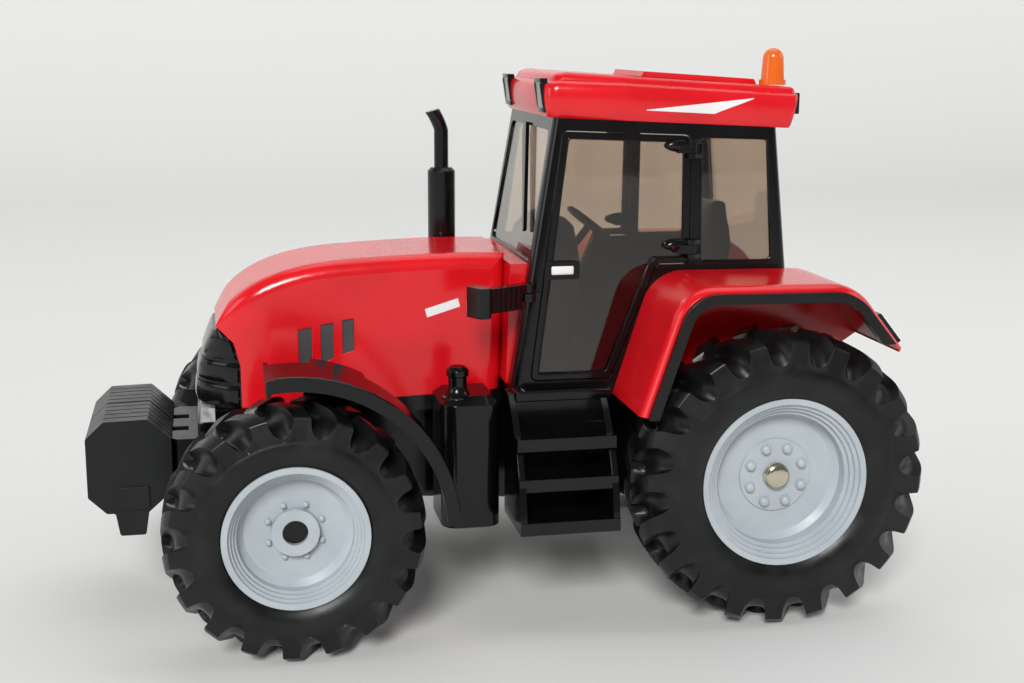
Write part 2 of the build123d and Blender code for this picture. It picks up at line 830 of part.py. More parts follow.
def hinge_leaf(low, high, reach, bore):
    """A leaf on the cab's side between two heights, reaching forward or back from its eye."""
    leaf_plane = Plane(
        origin=(hinge_x, cab_side_y(low), low),
        x_dir=(1, 0, 0),
        z_dir=(0, -math.sin(side_lean), math.cos(side_lean)),
    )
    way = math.copysign(1.0, reach)
    with BuildPart() as leaf:
        with BuildSketch(leaf_plane):
            with BuildLine():
                Polyline(
                    (0, hinge_stand_off + hinge_radius),
                    (reach, 1.4),
                    (reach, 0),
                    (0.8 * way, 0),
                    (0, hinge_stand_off - hinge_radius),
                    close=True,
                )
            make_face()
            with Locations((0, hinge_stand_off)):
                Circle(hinge_radius)
                if bore:
                    Circle(bore, mode=Mode.SUBTRACT)
        extrude(amount=(high - low) / math.cos(side_lean))
    return leaf.part


def hinge_pin(level):
    """Pin that joins the two leaves on the cab at a height."""
    pin_plane = Plane(
        origin=(hinge_x, cab_side_y(level) + hinge_stand_off, level),
        x_dir=(1, 0, 0),
        z_dir=(0, -math.sin(side_lean), math.cos(side_lean)),
    )
    with BuildPart() as pin:
        with BuildSketch(pin_plane):
            Circle(hinge_pin_radius)
        extrude(amount=2.4, both=True)
    return pin.part


mirror_pivot = (-9.0, 46.6)
mirror_lug_z = 117.0
lug_thickness = 3.0
with BuildPart() as cab_frame:
    add(walls)
    add(above_roof, mode=Mode.SUBTRACT)
    add(slab(outline(door_points, door_corners), 60.0, 30.0), mode=Mode.SUBTRACT)
    add(slab(outline(door_points, door_corners), -30.0, -60.0), mode=Mode.SUBTRACT)
    add(slab(outline(quarter_points, 2.0), 60.0, -60.0), mode=Mode.SUBTRACT)
    add(across(windscreen_points, 3.0, 0.0, 10.0, -50.0), mode=Mode.SUBTRACT)
    add(across(rear_window_points, 3.0, 0.0, -60.0, -130.0), mode=Mode.SUBTRACT)
    for way in (1, -1):
        with BuildSketch(Plane.XY.offset(mirror_lug_z)):
            with Locations((mirror_pivot[0], way * mirror_pivot[1])):
                Circle(3.0)
            with Locations((mirror_pivot[0] - 2.6, way * (mirror_pivot[1] - 2.8))):
                Rectangle(4.4, 5.6)
            with Locations((mirror_pivot[0], way * mirror_pivot[1])):
                Circle(1.2 + running_gap, mode=Mode.SUBTRACT)
        extrude(amount=lug_thickness)
    for level in hinge_levels:
        for low in (level - 3.6, level + 1.75):
            leaf = hinge_leaf(low, low + 1.85, -4.0, 0)
            add(leaf)
            add(mirror(leaf, about=Plane.XZ))
        pin = hinge_pin(level)
        add(pin)
        add(mirror(pin, about=Plane.XZ))
save(cab_frame.part, "cab_frame")

save(keep(glazing, across(windscreen_points, 3.0, 0.0, 10.0, -50.0)), "windscreen")
save(keep(glazing, across(rear_window_points, 3.0, 0.0, -60.0, -130.0)), "rear_window")
save(keep(glazing, slab(outline(quarter_points, 2.0), 60.0, -60.0)), "quarter_windows")

# Doors: a frame and its pane, seated in the side wall, with two hinge arms on the rear post
door_zone = slab(outline(door_points, door_corners, door_gap), 60.0, 30.0)
pane_zone = slab(outline(door_points, door_corners, door_gap + door_frame_width), 60.0, 30.0)
handle_points = [(-15.6, 124.0), (-16.4, 130.6), (-29.4, 130.6), (-29.0, 124.0)]
handle_zone = slab(outline(handle_points, 1.2), 60.0, 30.0)
with BuildPart() as door:
    add(keep(walls, door_zone))
    add(pane_zone, mode=Mode.SUBTRACT)
    add(keep(cab_ring(-0.7, panel), handle_zone))
    for level in hinge_levels:
        add(hinge_leaf(level - 1.6, level + 1.6, 5.4, hinge_pin_radius + running_gap))
save_pair(door.part, "door")
with BuildPart() as door_pane:
    add(keep(glazing, pane_zone))
    add(handle_zone, mode=Mode.SUBTRACT)
save_pair(door_pane.part, "door_pane")

# Cab floor and the red cowl that closes the gap behind the bonnet
with BuildPart() as cab_floor:
    with BuildSketch(Plane.XY.offset(floor_z - floor_thickness)):
        with Locations(((cab_floor_front_x + cab_floor_rear_x) / 2, 0)):
            Rectangle(cab_floor_front_x - cab_floor_rear_x, 2 * cab_floor_half)
    extrude(amount=floor_thickness)
save(cab_floor.part, "cab_floor")

cab_front_slope = (cab_top_front_x - cab_floor_front_x) / (cab_top_z - floor_z)
cowl_top_z = 129.0
with BuildPart() as cowl:
    with BuildSketch(side(36.0)):
        with BuildLine():
            Polyline(
                (cab_floor_front_x, floor_z),
                (cab_floor_front_x + cab_front_slope * (cowl_top_z - floor_z), cowl_top_z),
                (bonnet_rear_at(cowl_top_z), cowl_top_z),
                (bonnet_rear_at(floor_z), floor_z),
                close=True,
            )
        make_face()
    extrude(amount=72.0)
save(cowl.part, "cowl")

# Roof: hollow moulding with a bulging side band and a lip that flares at the back
roof_line = [
    (-18.6, roof_seat_z(-18.6)),
    (-16.8, 197.4),
    (-26.0, 198.6),
    (-108.0, 193.4),
    (-113.6, 192.0),
    (-110.3, roof_seat_z(-110.3)),
]
roof_top_slope = (roof_line[3][1] - roof_line[2][1]) / (roof_line[3][0] - roof_line[2][0])


def roof_form(inset, drop):
    """Roof block from its side, plan and end outlines, shrunk by inset and dropped below."""
    front, front_top, crest, rear_crest, tip, rear = roof_line
    top_plane = Plane(origin=(crest[0], 0, crest[1]), x_dir=(0, 1, 0), z_dir=(1, 0, roof_top_slope))
    with BuildPart() as form:
        with BuildSketch(side(60.0)):
            with BuildLine():
                Polyline(
                    (front[0] - inset, front[1] - drop),
                    (front_top[0] - inset, front_top[1] - inset),
                    (crest[0], crest[1] - inset),
                    (rear_crest[0], rear_crest[1] - inset),
                    (tip[0] + 1.6 * inset, tip[1] - inset),
                    (rear[0] + inset, rear[1] - drop),
                    close=True,
                )
            make_face()
        extrude(amount=120.0)
        with BuildSketch(Plane.XY.offset(170.0)):
            with BuildLine():
                corner = FilletPolyline(
                    (-48.0, 41.6 - inset),
                    (-16.8 - inset, 38.6 - inset),
                    (-16.8 - inset, 0),
                    radius=4.0 - inset,
                )
                flank = Line((-120.0, 41.6 - inset), (-48.0, 41.6 - inset))
                mirror(corner, about=Plane.XZ)
                mirror(flank, about=Plane.XZ)
                Line((-120.0, 41.6 - inset), (-120.0, inset - 41.6))
            make_face()
        extrude(amount=40.0, mode=Mode.INTERSECT)
        with BuildSketch(top_plane):
            with BuildLine():
                ledge = Polyline(
                    (0, 6.0), (36.4 - inset, 6.0), (36.4 - inset, -2.4 - inset), (40.2 - inset, -2.4 - inset)
                )
                band = ThreePointArc(ledge @ 1, (41.6 - inset, -8.6), (40.4 - inset, -17.0))
                hem = Polyline(band @ 1, (40.4 - inset, -40.0), (0, -40.0))
                mirror(ledge, about=Plane.YZ)
                mirror(band, about=Plane.YZ)
                mirror(hem, about=Plane.YZ)
            make_face()
        extrude(amount=120.0, both=True, mode=Mode.INTERSECT)
    return form.part


with BuildPart() as roof:
    add(roof_form(0.0, 0.0))
    add(roof_form(wall, 4.0), mode=Mode.SUBTRACT)
save(roof.part, "roof")

def roof_top_z(x):
    """Height of the roof's top face at x."""
    return roof_line[2][1] + roof_top_slope * (x - roof_line[2][0])


hatch_front_x = -58.0
hatch_rear_x = -104.0
with BuildPart() as roof_hatch:
    with BuildSketch(side(20.0)):
        with BuildLine():
            Polyline(
                (hatch_front_x, roof_top_z(hatch_front_x)),
                (hatch_front_x - 1.0, roof_top_z(hatch_front_x) + 2.0),
                (hatch_rear_x + 1.0, roof_top_z(hatch_rear_x) + 2.0),
                (hatch_rear_x, roof_top_z(hatch_rear_x)),
                close=True,
            )
        make_face()
    extrude(amount=40.0)
save(roof_hatch.part, "roof_hatch")

# Work lamps in the roof's front corners and under its flared rear lip
def roof_rear_x(z):
    """Where the roof's rear face is at a height, under its flared lip."""
    tip, rear = roof_line[4:]
    return tip[0] + (rear[0] - tip[0]) * (tip[1] - z) / (tip[1] - rear[1])


rear_lamp_outline = outline(
    [(roof_rear_x(190.4), 190.4), (-115.8, 189.4), (-114.4, 183.4), (roof_rear_x(184.0), 184.0)]
)
with BuildPart() as roof_lamps:
    for way in (1, -1):
        with BuildSketch(side(way * 29.6 + 5.0)):
            with BuildLine():
                Polyline(
                    (roof_line[0][0] + 0.3, roof_line[0][1] + 2.0),
                    (roof_line[0][0] + 1.5, roof_line[0][1] + 2.0),
                    (roof_line[1][0] + 1.1, roof_line[1][1] - 1.2),
                    (roof_line[1][0] - 0.1, roof_line[1][1] - 1.2),
                    close=True,
                )
            make_face()
        extrude(amount=10.0)
        add(slab(rear_lamp_outline, way * 27.0 + 6.5, way * 27.0 - 6.5))
save(roof_lamps.part, "roof_lamps")

# Flashing beacon: a foot on the roof and a domed lens
beacon_x = -106.5
beacon_y = 30.0
beacon_top_z = 207.4
dome_radius = 3.9
beacon_foot_z = roof_top_z(beacon_x)
with BuildPart() as beacon:
    with BuildSketch(Plane.XZ):
        with BuildLine():
            Polyline(
                (0, beacon_foot_z + 0.3),
                (5.0, beacon_foot_z + 0.3),
                (5.0, beacon_foot_z + 2.2),
                (4.4, beacon_foot_z + 2.2),
            )
            Line((4.4, beacon_foot_z + 2.2), (dome_radius, beacon_top_z - dome_radius))
            CenterArc((0, beacon_top_z - dome_radius), dome_radius, 0, 90)
            Line((0, beacon_top_z), (0, beacon_foot_z + 0.3))
        make_face()
    revolve(axis=Axis.Z)
save(beacon.part.moved(Location((beacon_x, beacon_y, 0))), "beacon")

# Inside the cab: dashboard with its column, steering wheel and seat
dash_points = [
    (-12.0, floor_z),
    (-15.6, 127.0),
    (-24.0, 133.0),
    (-35.0, 130.0),
    (-31.0, 121.0),
    (-25.0, 112.0),
    (-22.0, floor_z),
]
dash_top = slab(outline(dash_points, 1.6), 15.0, -15.0)
save(dash_top, "dashboard")

steering_centre = Plane(origin=(-44.0, 0, 138.6), x_dir=(0, 1, 0), z_dir=(-0.62, 0, 0.785))
rim_middle = steering_centre.origin + steering_centre.x_dir * 10.0
rim_plane = Plane(
    origin=rim_middle, x_dir=steering_centre.x_dir, z_dir=steering_centre.x_dir.cross(steering_centre.z_dir)
)
with BuildPart() as steering_wheel:
    with BuildSketch(rim_plane):
        RegularPolygon(1.3, 6)
    revolve(axis=Axis(steering_centre.origin, steering_centre.z_dir))
    with BuildSketch(steering_centre):
        Circle(2.6)
        Rectangle(20.0, 1.8)
    extrude(amount=0.8, both=True)
    with BuildSketch(steering_centre):
        Circle(1.5)
    extrude(amount=-13.6)
save(steering_wheel.part, "steering_wheel")

seat_points = [
    (-66.0, 103.0),
    (-66.4, 110.6),
    (-86.0, 109.6),
    (-90.6, 138.0),
    (-92.0, 147.6),
    (-97.4, 147.6),
    (-98.8, 138.0),
    (-95.0, 101.0),
]
with BuildPart() as seat:
    add(slab(outline(seat_points, 1.8), 12.5, -12.5))
    with BuildSketch(Plane.YZ.offset(-110.0)):
        with BuildLine():
            Polyline(
                (12.5, 95.0), (12.5, 132.0), (7.0, 140.0), (7.0, 150.0),
                (-7.0, 150.0), (-7.0, 140.0), (-12.5, 132.0), (-12.5, 95.0),
                close=True,
            )
        make_face()
    extrude(amount=50.0, mode=Mode.INTERSECT)
    with BuildSketch(side(8.0)):
        with Locations((-81.0, (floor_z + 103.5) / 2)):
            Rectangle(18.0, 103.5 - floor_z)
    extrude(amount=16.0)
save(seat.part, "seat")


# Rear fenders: a moulded arch whose inner edge is cut to the leaning side of the cab
arch_line = [(-42.0, 80.5), (-57.4, 126.3), (-121.0, 125.6), (-140.0, 102.0)]
arch_radii = (16.0, 20.0)
arch_foot = [(-118.0, 88.0), (-112.0, 80.5)]
shoulder = 5.0


def arch_outline(inset, foot):
    """Side outline of the arch, moved in by inset, closed along the foot points."""
    with BuildSketch() as shape:
        with BuildLine():
            Polyline(*arch_line, *foot, close=True)
        make_face()
        corners = shape.vertices()
        for (x, z), radius in zip(arch_line[1:3], arch_radii):
            fillet([v for v in corners if abs(v.X - x) < 0.1 and abs(v.Y - z) < 0.1], radius)
            corners = shape.vertices()
        if inset:
            offset(amount=-inset)
    return shape.sketch


def beside_cab(inner_y):
    """Everything on the left of the cab's leaning side, moved out by inner_y."""
    with BuildPart() as region:
        with BuildSketch(Plane.YZ.offset(-170.0)):
            with BuildLine():
                Polyline(
                    (cab_side_y(60.0) + inner_y, 60.0),
                    (cab_side_y(190.0) + inner_y, 190.0),
                    (120.0, 190.0),
                    (120.0, 60.0),
                    close=True,
                )
            make_face()
        extrude(amount=190.0)
    return region.part


open_foot = [(-140.0, 60.0), (-42.0, 60.0)]
with BuildPart() as rear_fender:
    add(slab(arch_outline(0.0, arch_foot), fender_outer_y, 30.0))
    outer_rim = rear_fender.edges().filter_by(lambda e: abs(e.center().Y - fender_outer_y) < 0.1)
    crown_rim = outer_rim.filter_by(lambda e: e.center().Z > 100.0)
    fillet(crown_rim, shoulder)
    add(beside_cab(0.0), mode=Mode.INTERSECT)
    hollow = slab(arch_outline(fender_sheet, open_foot), 100.0, 30.0)
    add(keep(hollow, beside_cab(fender_sheet)), mode=Mode.SUBTRACT)
save_pair(rear_fender.part, "rear_fender")

# Soft black lip under the outer edge of each arch
lip_outer_y = 85.6
lip_inner_y = 80.4
lip_depth = 3.6
lip_cutter = [(-160.0, 50.0), (-160.0, 104.0), (-130.0, 104.0), (-118.0, 80.0), (-20.0, 80.0), (-20.0, 50.0)]
with BuildPart() as fender_lip:
    add(slab(arch_outline(fender_sheet, open_foot), lip_outer_y, lip_inner_y))
    add(slab(arch_outline(fender_sheet + lip_depth, open_foot), 100.0, 30.0), mode=Mode.SUBTRACT)
    add(slab(outline(lip_cutter), 100.0, 20.0), mode=Mode.SUBTRACT)
save_pair(fender_lip.part, "fender_lip")

# Steps under the door: two cheeks, a back panel and three treads
step_front_x = -1.0
step_rear_x = -37.6
cheek = 2.4
with BuildPart() as steps:
    for x in (step_rear_x, step_front_x - cheek):
        with BuildSketch(Plane.YZ.offset(x)):
            with BuildLine():
                sweep_out = ThreePointArc((50.0, 83.4), (65.2, 67.0), (75.0, 37.0))
                Polyline(sweep_out @ 1, (44.5, 37.0), (44.5, 84.0), sweep_out @ 0)
            make_face()
        extrude(amount=cheek)
    with BuildSketch(Plane.XY.offset(37.0)):
        with Locations(((step_front_x + step_rear_x) / 2, 45.6)):
            Rectangle(step_front_x - step_rear_x, 2.2)
    extrude(amount=47.0)
    for tread_z, tread_y in ((66.0, 68.0), (52.0, 71.6), (37.0, 75.0)):
        with BuildSketch(Plane.XY.offset(tread_z)):
            with Locations(((step_front_x + step_rear_x) / 2, (tread_y + 44.5) / 2)):
                Rectangle(step_front_x - step_rear_x, tread_y - 44.5)
        extrude(amount=4.6)
    with BuildSketch(Plane.XY.offset(floor_z - floor_thickness)):
        with Locations(((step_front_x + step_rear_x) / 2, 45.6)):
            Rectangle(step_front_x - step_rear_x, 2.2)
    extrude(amount=floor_thickness)
save_pair(steps.part, "steps")

# Tanks behind the front wheels, each with a flared filler neck and a domed cap
def filler_neck():
    """Neck that flares into the tank's top, and its cap, standing on the origin."""
    with BuildPart() as neck:
        with BuildSketch(Plane.XZ):
            with BuildLine():
                flare = ThreePointArc((6.0, 0.6), (4.0, 2.6), (3.4, 6.0))
                cap = Polyline(flare @ 1, (3.4, 8.0), (4.1, 8.4), (4.1, 10.4), (2.6, 11.8), (0, 11.8))
                Polyline(cap @ 1, (0, 0), (6.0, 0), flare @ 0)
            make_face()
        revolve(axis=Axis.Z)
    return neck.part


tank_front_x = 23.6
tank_rear_x = 2.0
tank_outer_y = 54.5
with BuildPart() as tank:
    with BuildSketch(Plane.XY.offset(34.5)):
        with Locations(((tank_front_x + tank_rear_x) / 2, (tank_outer_y + 29.0) / 2)):
            Rectangle(tank_front_x - tank_rear_x, tank_outer_y - 29.0)
    extrude(amount=49.0)
    fillet(tank.edges().filter_by(Axis.Z).group_by(Axis.Y)[-1], 6.0)
    chamfer(tank.faces().sort_by(Axis.Z)[-1].edges(), 3.0)
    with BuildSketch(Plane.XY.offset(44.0)):
        with Locations(((tank_front_x + tank_rear_x) / 2, 24.0)):
            Rectangle(14.0, 12.0)
    extrude(amount=26.0)
    add(filler_neck().moved(Location((17.0, 46.6, 82.0))))
save_pair(tank.part, "tank")

# Mirrors, folded forward beside the bonnet, each on a peg in the cab's lug
mirror_arm_angle = 28.0
arm_bottom_z = mirror_lug_z + lug_thickness + 0.3
housing_bottom_z = 114.6
housing_top_z = arm_bottom_z + 3.2
with BuildPart() as mirror_arm:
    with BuildSketch(Plane.XY.offset(mirror_lug_z)):
        Circle(1.2)
    extrude(amount=arm_bottom_z - mirror_lug_z + 1.0)
    with BuildSketch(Plane.XY.offset(arm_bottom_z)):
        Circle(2.6)
        with Locations((4.0, 0)):
            Rectangle(8.0, 3.6)
    extrude(amount=housing_top_z - arm_bottom_z)
    with BuildSketch(Plane.XY.offset(housing_bottom_z)):
        with Locations((12.4, 0)):
            Rectangle(17.2, 3.6)
        with Locations(*[(5.6 + 2.4 * i, 0) for i in range(6)]):
            Rectangle(1.2, 4.6)
    extrude(amount=housing_top_z - housing_bottom_z)
    with BuildSketch(Plane.XY.offset(housing_bottom_z - 1.0)):
        with Locations((22.6, 0)):
            RectangleRounded(5.4, 10.0, 2.0)
    extrude(amount=housing_top_z - housing_bottom_z + 2.0)
mirror_place = Location((mirror_pivot[0], mirror_pivot[1], 0), (0, 0, mirror_arm_angle))
save_pair(mirror_arm.part.moved(mirror_place), "mirror")

# Wiper resting on the windscreen
screen_plane = Plane(
    origin=(cab_floor_front_x, 0, floor_z), x_dir=(0, 1, 0), z_dir=(1, 0, -cab_front_slope)
)
with BuildPart() as wiper:
    with BuildSketch(screen_plane):
        with BuildLine():
            Polyline((-4.6, 96.0), (-0.6, 96.0), (25.2, 57.0), (23.8, 56.2), (-4.6, 92.0), close=True)
        make_face()
    extrude(amount=1.4)
save(wiper.part, "wiper")

# Rear hitch: a ribbed tongue on the gearbox with an upright peg for a trailer's eye
hitch_peg_x = -135.0
hitch_peg_radius = 2.0
hitch_peg_length = 7.0
hitch_tongue_z = (44.0, 49.0)
with BuildPart() as rear_hitch:
    with BuildSketch(Plane.XY.offset(hitch_tongue_z[0])):
        with BuildLine():
            Polyline(
                (gearbox_rear_x, -10.0),
                (hitch_peg_x, -6.0),
                (hitch_peg_x, 6.0),
                (gearbox_rear_x, 10.0),
                close=True,
            )
        make_face()
        with Locations((hitch_peg_x, 0)):
            Circle(6.0)
    extrude(amount=hitch_tongue_z[1] - hitch_tongue_z[0])
    for rib_y in (-7.0, 7.0):
        with BuildSketch(side(rib_y + 1.0)):
            with BuildLine():
                Polyline(
                    (gearbox_rear_x, hitch_tongue_z[1] - 1.0),
                    (gearbox_rear_x, 62.0),
                    (hitch_peg_x + 5.4, hitch_tongue_z[1] - 1.0),
                    close=True,
                )
            make_face()
        extrude(amount=2.0)
    with BuildSketch(Plane.XY.offset(hitch_tongue_z[1])):
        with Locations((hitch_peg_x, 0)):
            Circle(hitch_peg_radius)
    extrude(amount=hitch_peg_length + 1.0)
    chamfer(rear_hitch.edges().filter_by(GeomType.CIRCLE).group_by(Axis.Z)[-1], 0.9)
save(rear_hitch.part, "rear_hitch")

# Tail lamps lie on the rear slope of each fender, near its tip
rear_slope = math.atan2(arch_line[2][1] - arch_line[3][1], arch_line[2][0] - arch_line[3][0])
lamp_plate = 1.6


def on_rear_slope(along, proud):
    """Point on the rear slope of the arch, at a distance up it and out from it."""
    return (
        arch_line[3][0] + along * math.cos(rear_slope) - proud * math.sin(rear_slope),
        arch_line[3][1] + along * math.sin(rear_slope) + proud * math.cos(rear_slope),
    )


tail_lamp_outline = outline(
    [
        on_rear_slope(1.0, 0.0),
        on_rear_slope(15.0, 0.0),
        on_rear_slope(14.0, lamp_plate),
        on_rear_slope(1.0, lamp_plate),
    ]
)
with BuildPart() as tail_lamps:
    for inner_y, outer_y in ((60.0, 78.6), (-78.6, -60.0)):
        add(slab(tail_lamp_outline, outer_y, inner_y))
save(tail_lamps.part, "tail_lamps")

print(len(written), "nodes", written)
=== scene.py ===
# %% [markdown]
# # A toy farm tractor
# The toy is moulded in red, black and grey plastic, with smoked windows, soft black tyres and a
# plated steel axle. The CAD model gives every rigid piece its true shape and place, and this
# script dresses it: finishes first, then the small moulded details that are too fine for CAD.

# %% Load the CAD model as the fixed frame
import json
import math

import bmesh
import bpy
from mathutils import Matrix, Vector


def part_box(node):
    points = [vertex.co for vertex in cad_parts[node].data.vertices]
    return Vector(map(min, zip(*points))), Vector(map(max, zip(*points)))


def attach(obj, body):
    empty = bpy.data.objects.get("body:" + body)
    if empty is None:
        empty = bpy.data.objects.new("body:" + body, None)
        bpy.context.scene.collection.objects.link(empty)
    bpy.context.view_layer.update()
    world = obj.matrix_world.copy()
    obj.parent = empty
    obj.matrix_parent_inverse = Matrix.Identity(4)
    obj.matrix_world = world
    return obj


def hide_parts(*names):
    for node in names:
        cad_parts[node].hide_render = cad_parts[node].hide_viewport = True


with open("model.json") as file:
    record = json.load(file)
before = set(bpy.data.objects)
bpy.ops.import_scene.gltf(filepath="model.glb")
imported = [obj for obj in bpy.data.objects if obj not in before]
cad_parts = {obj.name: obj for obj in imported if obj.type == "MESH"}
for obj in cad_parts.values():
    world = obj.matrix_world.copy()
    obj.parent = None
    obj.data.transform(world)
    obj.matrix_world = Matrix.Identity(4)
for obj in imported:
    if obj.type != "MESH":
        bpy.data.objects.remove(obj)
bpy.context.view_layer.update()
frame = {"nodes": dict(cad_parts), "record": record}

nodes = frame["nodes"]

# %% [markdown]
# ## Units and small helpers
# Sizes of a toy are easiest to read in millimetres, while Blender works in metres, so one
# constant turns one into the other. Two helpers find where a CAD node is. The tractor faces along
# X, and its left is towards positive Y, so a side is written as a sign and a name.

# %% Units and boxes
MM = 0.001


def low(node):
    """Lowest corner of a CAD node, in millimetres."""
    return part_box(node)[0] / MM


def high(node):
    """Highest corner of a CAD node, in millimetres."""
    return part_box(node)[1] / MM


SIDES = ((1, "left"), (-1, "right"))
print("length", round((high("front_weight") - low("rear_tyre_left")).x, 1), "mm")

# %% [markdown]
# ## Camera
# The photograph was taken a little above the toy, from its left front. The camera stands at the
# distance found from the two wheels, so near wheels look larger than far ones as they do there.

# %% Camera
camera_data = bpy.data.cameras.new("camera")
camera_data.lens = 51.97
camera_data.sensor_width = 36.0
camera_data.clip_start = 0.01
camera_data.clip_end = 20.0
camera = bpy.data.objects.new("camera", camera_data)
bpy.context.scene.collection.objects.link(camera)
bpy.context.scene.camera = camera

look_at = Vector((-12.82, 0.0, 92.29)) * MM
camera_distance = 588.6 * MM
camera_yaw = math.radians(11.64)
camera_pitch = math.radians(11.68)
camera_roll = math.radians(0.22)
back = Vector((
    math.sin(camera_yaw) * math.cos(camera_pitch),
    math.cos(camera_yaw) * math.cos(camera_pitch),
    math.sin(camera_pitch),
))
level_right = (-back).cross(Vector((0, 0, 1))).normalized()
level_up = level_right.cross(-back)
right = level_right * math.cos(camera_roll) + level_up * math.sin(camera_roll)
up = level_up * math.cos(camera_roll) - level_right * math.sin(camera_roll)
turn = Matrix((right, up, back)).transposed().to_4x4()
camera.matrix_world = Matrix.Translation(look_at + back * camera_distance) @ turn
print("camera at", [round(v / MM) for v in camera.matrix_world.translation], "mm")

# %% [markdown]
# ## Finishes
# A node material is a small network. One helper adds a node, sets its values and links its
# inputs, and one turns an sRGB hex colour, as read off a screen, into the linear colour that the
# renderer works in.


# %% Colour and node helpers
def linear(hex_colour, alpha=1.0):
    """Linear RGBA of an sRGB hex colour such as D2141A."""
    channels = [int(hex_colour[i:i + 2], 16) / 255 for i in (0, 2, 4)]
    return [c / 12.92 if c <= 0.04045 else ((c + 0.055) / 1.055) ** 2.4 for c in channels] + [alpha]


def add_node(tree, kind, values=None, links=None, **settings):
    """One node with its settings, its input values and the sockets that feed its inputs."""
    node = tree.nodes.new(kind)
    for name, value in settings.items():
        setattr(node, name, value)
    for key, value in (values or {}).items():
        node.inputs[key].default_value = value
    for key, socket in (links or {}).items():
        tree.links.new(socket, node.inputs[key])
    return node


def start_material(name):
    """An empty node material with its output, and its tree."""
    material = bpy.data.materials.new(name)
    material.use_nodes = True
    material.node_tree.nodes.clear()
    return material, material.node_tree


def dress(piece, *materials):
    """Give a piece its materials, in order."""
    piece.data.materials.clear()
    for material in materials:
        piece.data.materials.append(material)


print("red as linear:", [round(c, 3) for c in linear("D2141A")])

# %% [markdown]
# ## Moulded plastic
# Nearly every piece is ABS, injection moulded against a polished or a lightly grained steel tool
# and pigmented right through, so there is no paint edge anywhere. Polished black and red ABS
# mirrors the room softly, with an orange-peel waviness about as long as the wall is thick, and
# faint flow clouds where the melt slowed down. No tool has a perfectly sharp corner, so a Bevel
# node rounds every edge by a third of a millimetre, which is what catches the light. The same
# network serves every colour: only the pigment, the gloss and the size of the grain change. The
# blacks are filled with soot, which dulls their mirror a little, so their index is set lower.


# %% ABS, injection moulded
cloud_mm = 18.0
smear_mm = 6.0
edge_mm = 0.35


def moulded_abs(name, pigment, shade, gloss_roughness, peel_mm, peel_depth, handled=0.06, ior=1.54):
    """Injection-moulded ABS: flow clouds in the pigment, orange peel, and a handled bloom."""
    material, tree = start_material(name)
    place = add_node(tree, "ShaderNodeTexCoord").outputs["Object"]
    flow = add_node(
        tree, "ShaderNodeTexNoise", {"Scale": 1 / (cloud_mm * MM), "Detail": 3.0}, {"Vector": place}
    )
    clouds = add_node(tree, "ShaderNodeValToRGB", links={"Fac": flow.outputs["Fac"]})
    clouds.color_ramp.elements[0].position = 0.35
    clouds.color_ramp.elements[0].color = linear(shade)
    clouds.color_ramp.elements[1].position = 0.62
    clouds.color_ramp.elements[1].color = linear(pigment)
    smears = add_node(
        tree,
        "ShaderNodeTexNoise",
        {"Scale": 1 / (smear_mm * MM), "Detail": 5.0, "Roughness": 0.65},
        {"Vector": place},
    )
    bloom = add_node(
        tree,
        "ShaderNodeMapRange",
        {"From Min": 0.4, "From Max": 0.75, "To Min": gloss_roughness, "To Max": gloss_roughness + handled},
        {"Value": smears.outputs["Fac"]},
    )
    peel = add_node(
        tree, "ShaderNodeTexNoise", {"Scale": 1 / (peel_mm * MM), "Detail": 2.0}, {"Vector": place}
    )
    edge = add_node(tree, "ShaderNodeBevel", {"Radius": edge_mm * MM}, samples=4)
    wavy = add_node(
        tree,
        "ShaderNodeBump",
        {"Strength": 1.0, "Distance": peel_depth * MM},
        {"Height": peel.outputs["Fac"], "Normal": edge.outputs["Normal"]},
    )
    surface = add_node(
        tree,
        "ShaderNodeBsdfPrincipled",
        {"IOR": ior, "Metallic": 0.0},
        {
            "Base Color": clouds.outputs["Color"],
            "Roughness": bloom.outputs["Result"],
            "Normal": wavy.outputs["Normal"],
        },
    )
    add_node(tree, "ShaderNodeOutputMaterial", links={"Surface": surface.outputs["BSDF"]})
    return material


# Polished red and black mirror lamps as clear, slightly wavy lights. The eggshell black and the
# rims come from a lightly blasted tool, which spreads a light into a soft patch. Its grain is near
# 0.1 mm, too fine to show here, so it is drawn at 1.6 mm, and at 1 mm on the duller vents. The
# white is ink, pad printed over red ABS: a thin even film that hides the colour below it.
red_abs = moulded_abs("red_abs_polished", "E01520", "D5121C", 0.16, 3.0, 0.004)
black_abs = moulded_abs("black_abs_polished", "0B0B0C", "070708", 0.14, 3.0, 0.004, 0.06, 1.42)
dark_abs = moulded_abs("black_abs_eggshell", "111314", "0C0E0F", 0.30, 1.6, 0.006, 0.10, 1.42)
rim_abs = moulded_abs("blue_grey_abs_satin", "B4BCC1", "AAB2B8", 0.33, 1.6, 0.006, 0.10)
vent_abs = moulded_abs("slate_grey_abs_satin", "4C494B", "434043", 0.38, 1.0, 0.014)
lens_abs = moulded_abs("lamp_grey_abs", "8F8E8B", "84837F", 0.20, 2.0, 0.006)
white_abs = moulded_abs("white_ink_pad_printed", "F1F1F1", "ECECEC", 0.28, 1.2, 0.002)
abs_finishes = (red_abs, black_abs, dark_abs, rim_abs, vent_abs, lens_abs, white_abs)
print("ABS finishes:", [material.name for material in abs_finishes])

# %% [markdown]
# ## Soft tyres
# The tyres are plasticised PVC, moulded in a blasted tool and pushed over the rims. Soft PVC is
# never as shiny as ABS: it has a broad dull sheen, picks up fibres and dust, and shows the fine
# grain of the blasted tool.


# %% Soft PVC, moulded in a blasted tool
dust_mm = 9.0
grain_mm = 0.5  # the real grain is near 0.1 mm, too fine to show, so it is drawn coarser


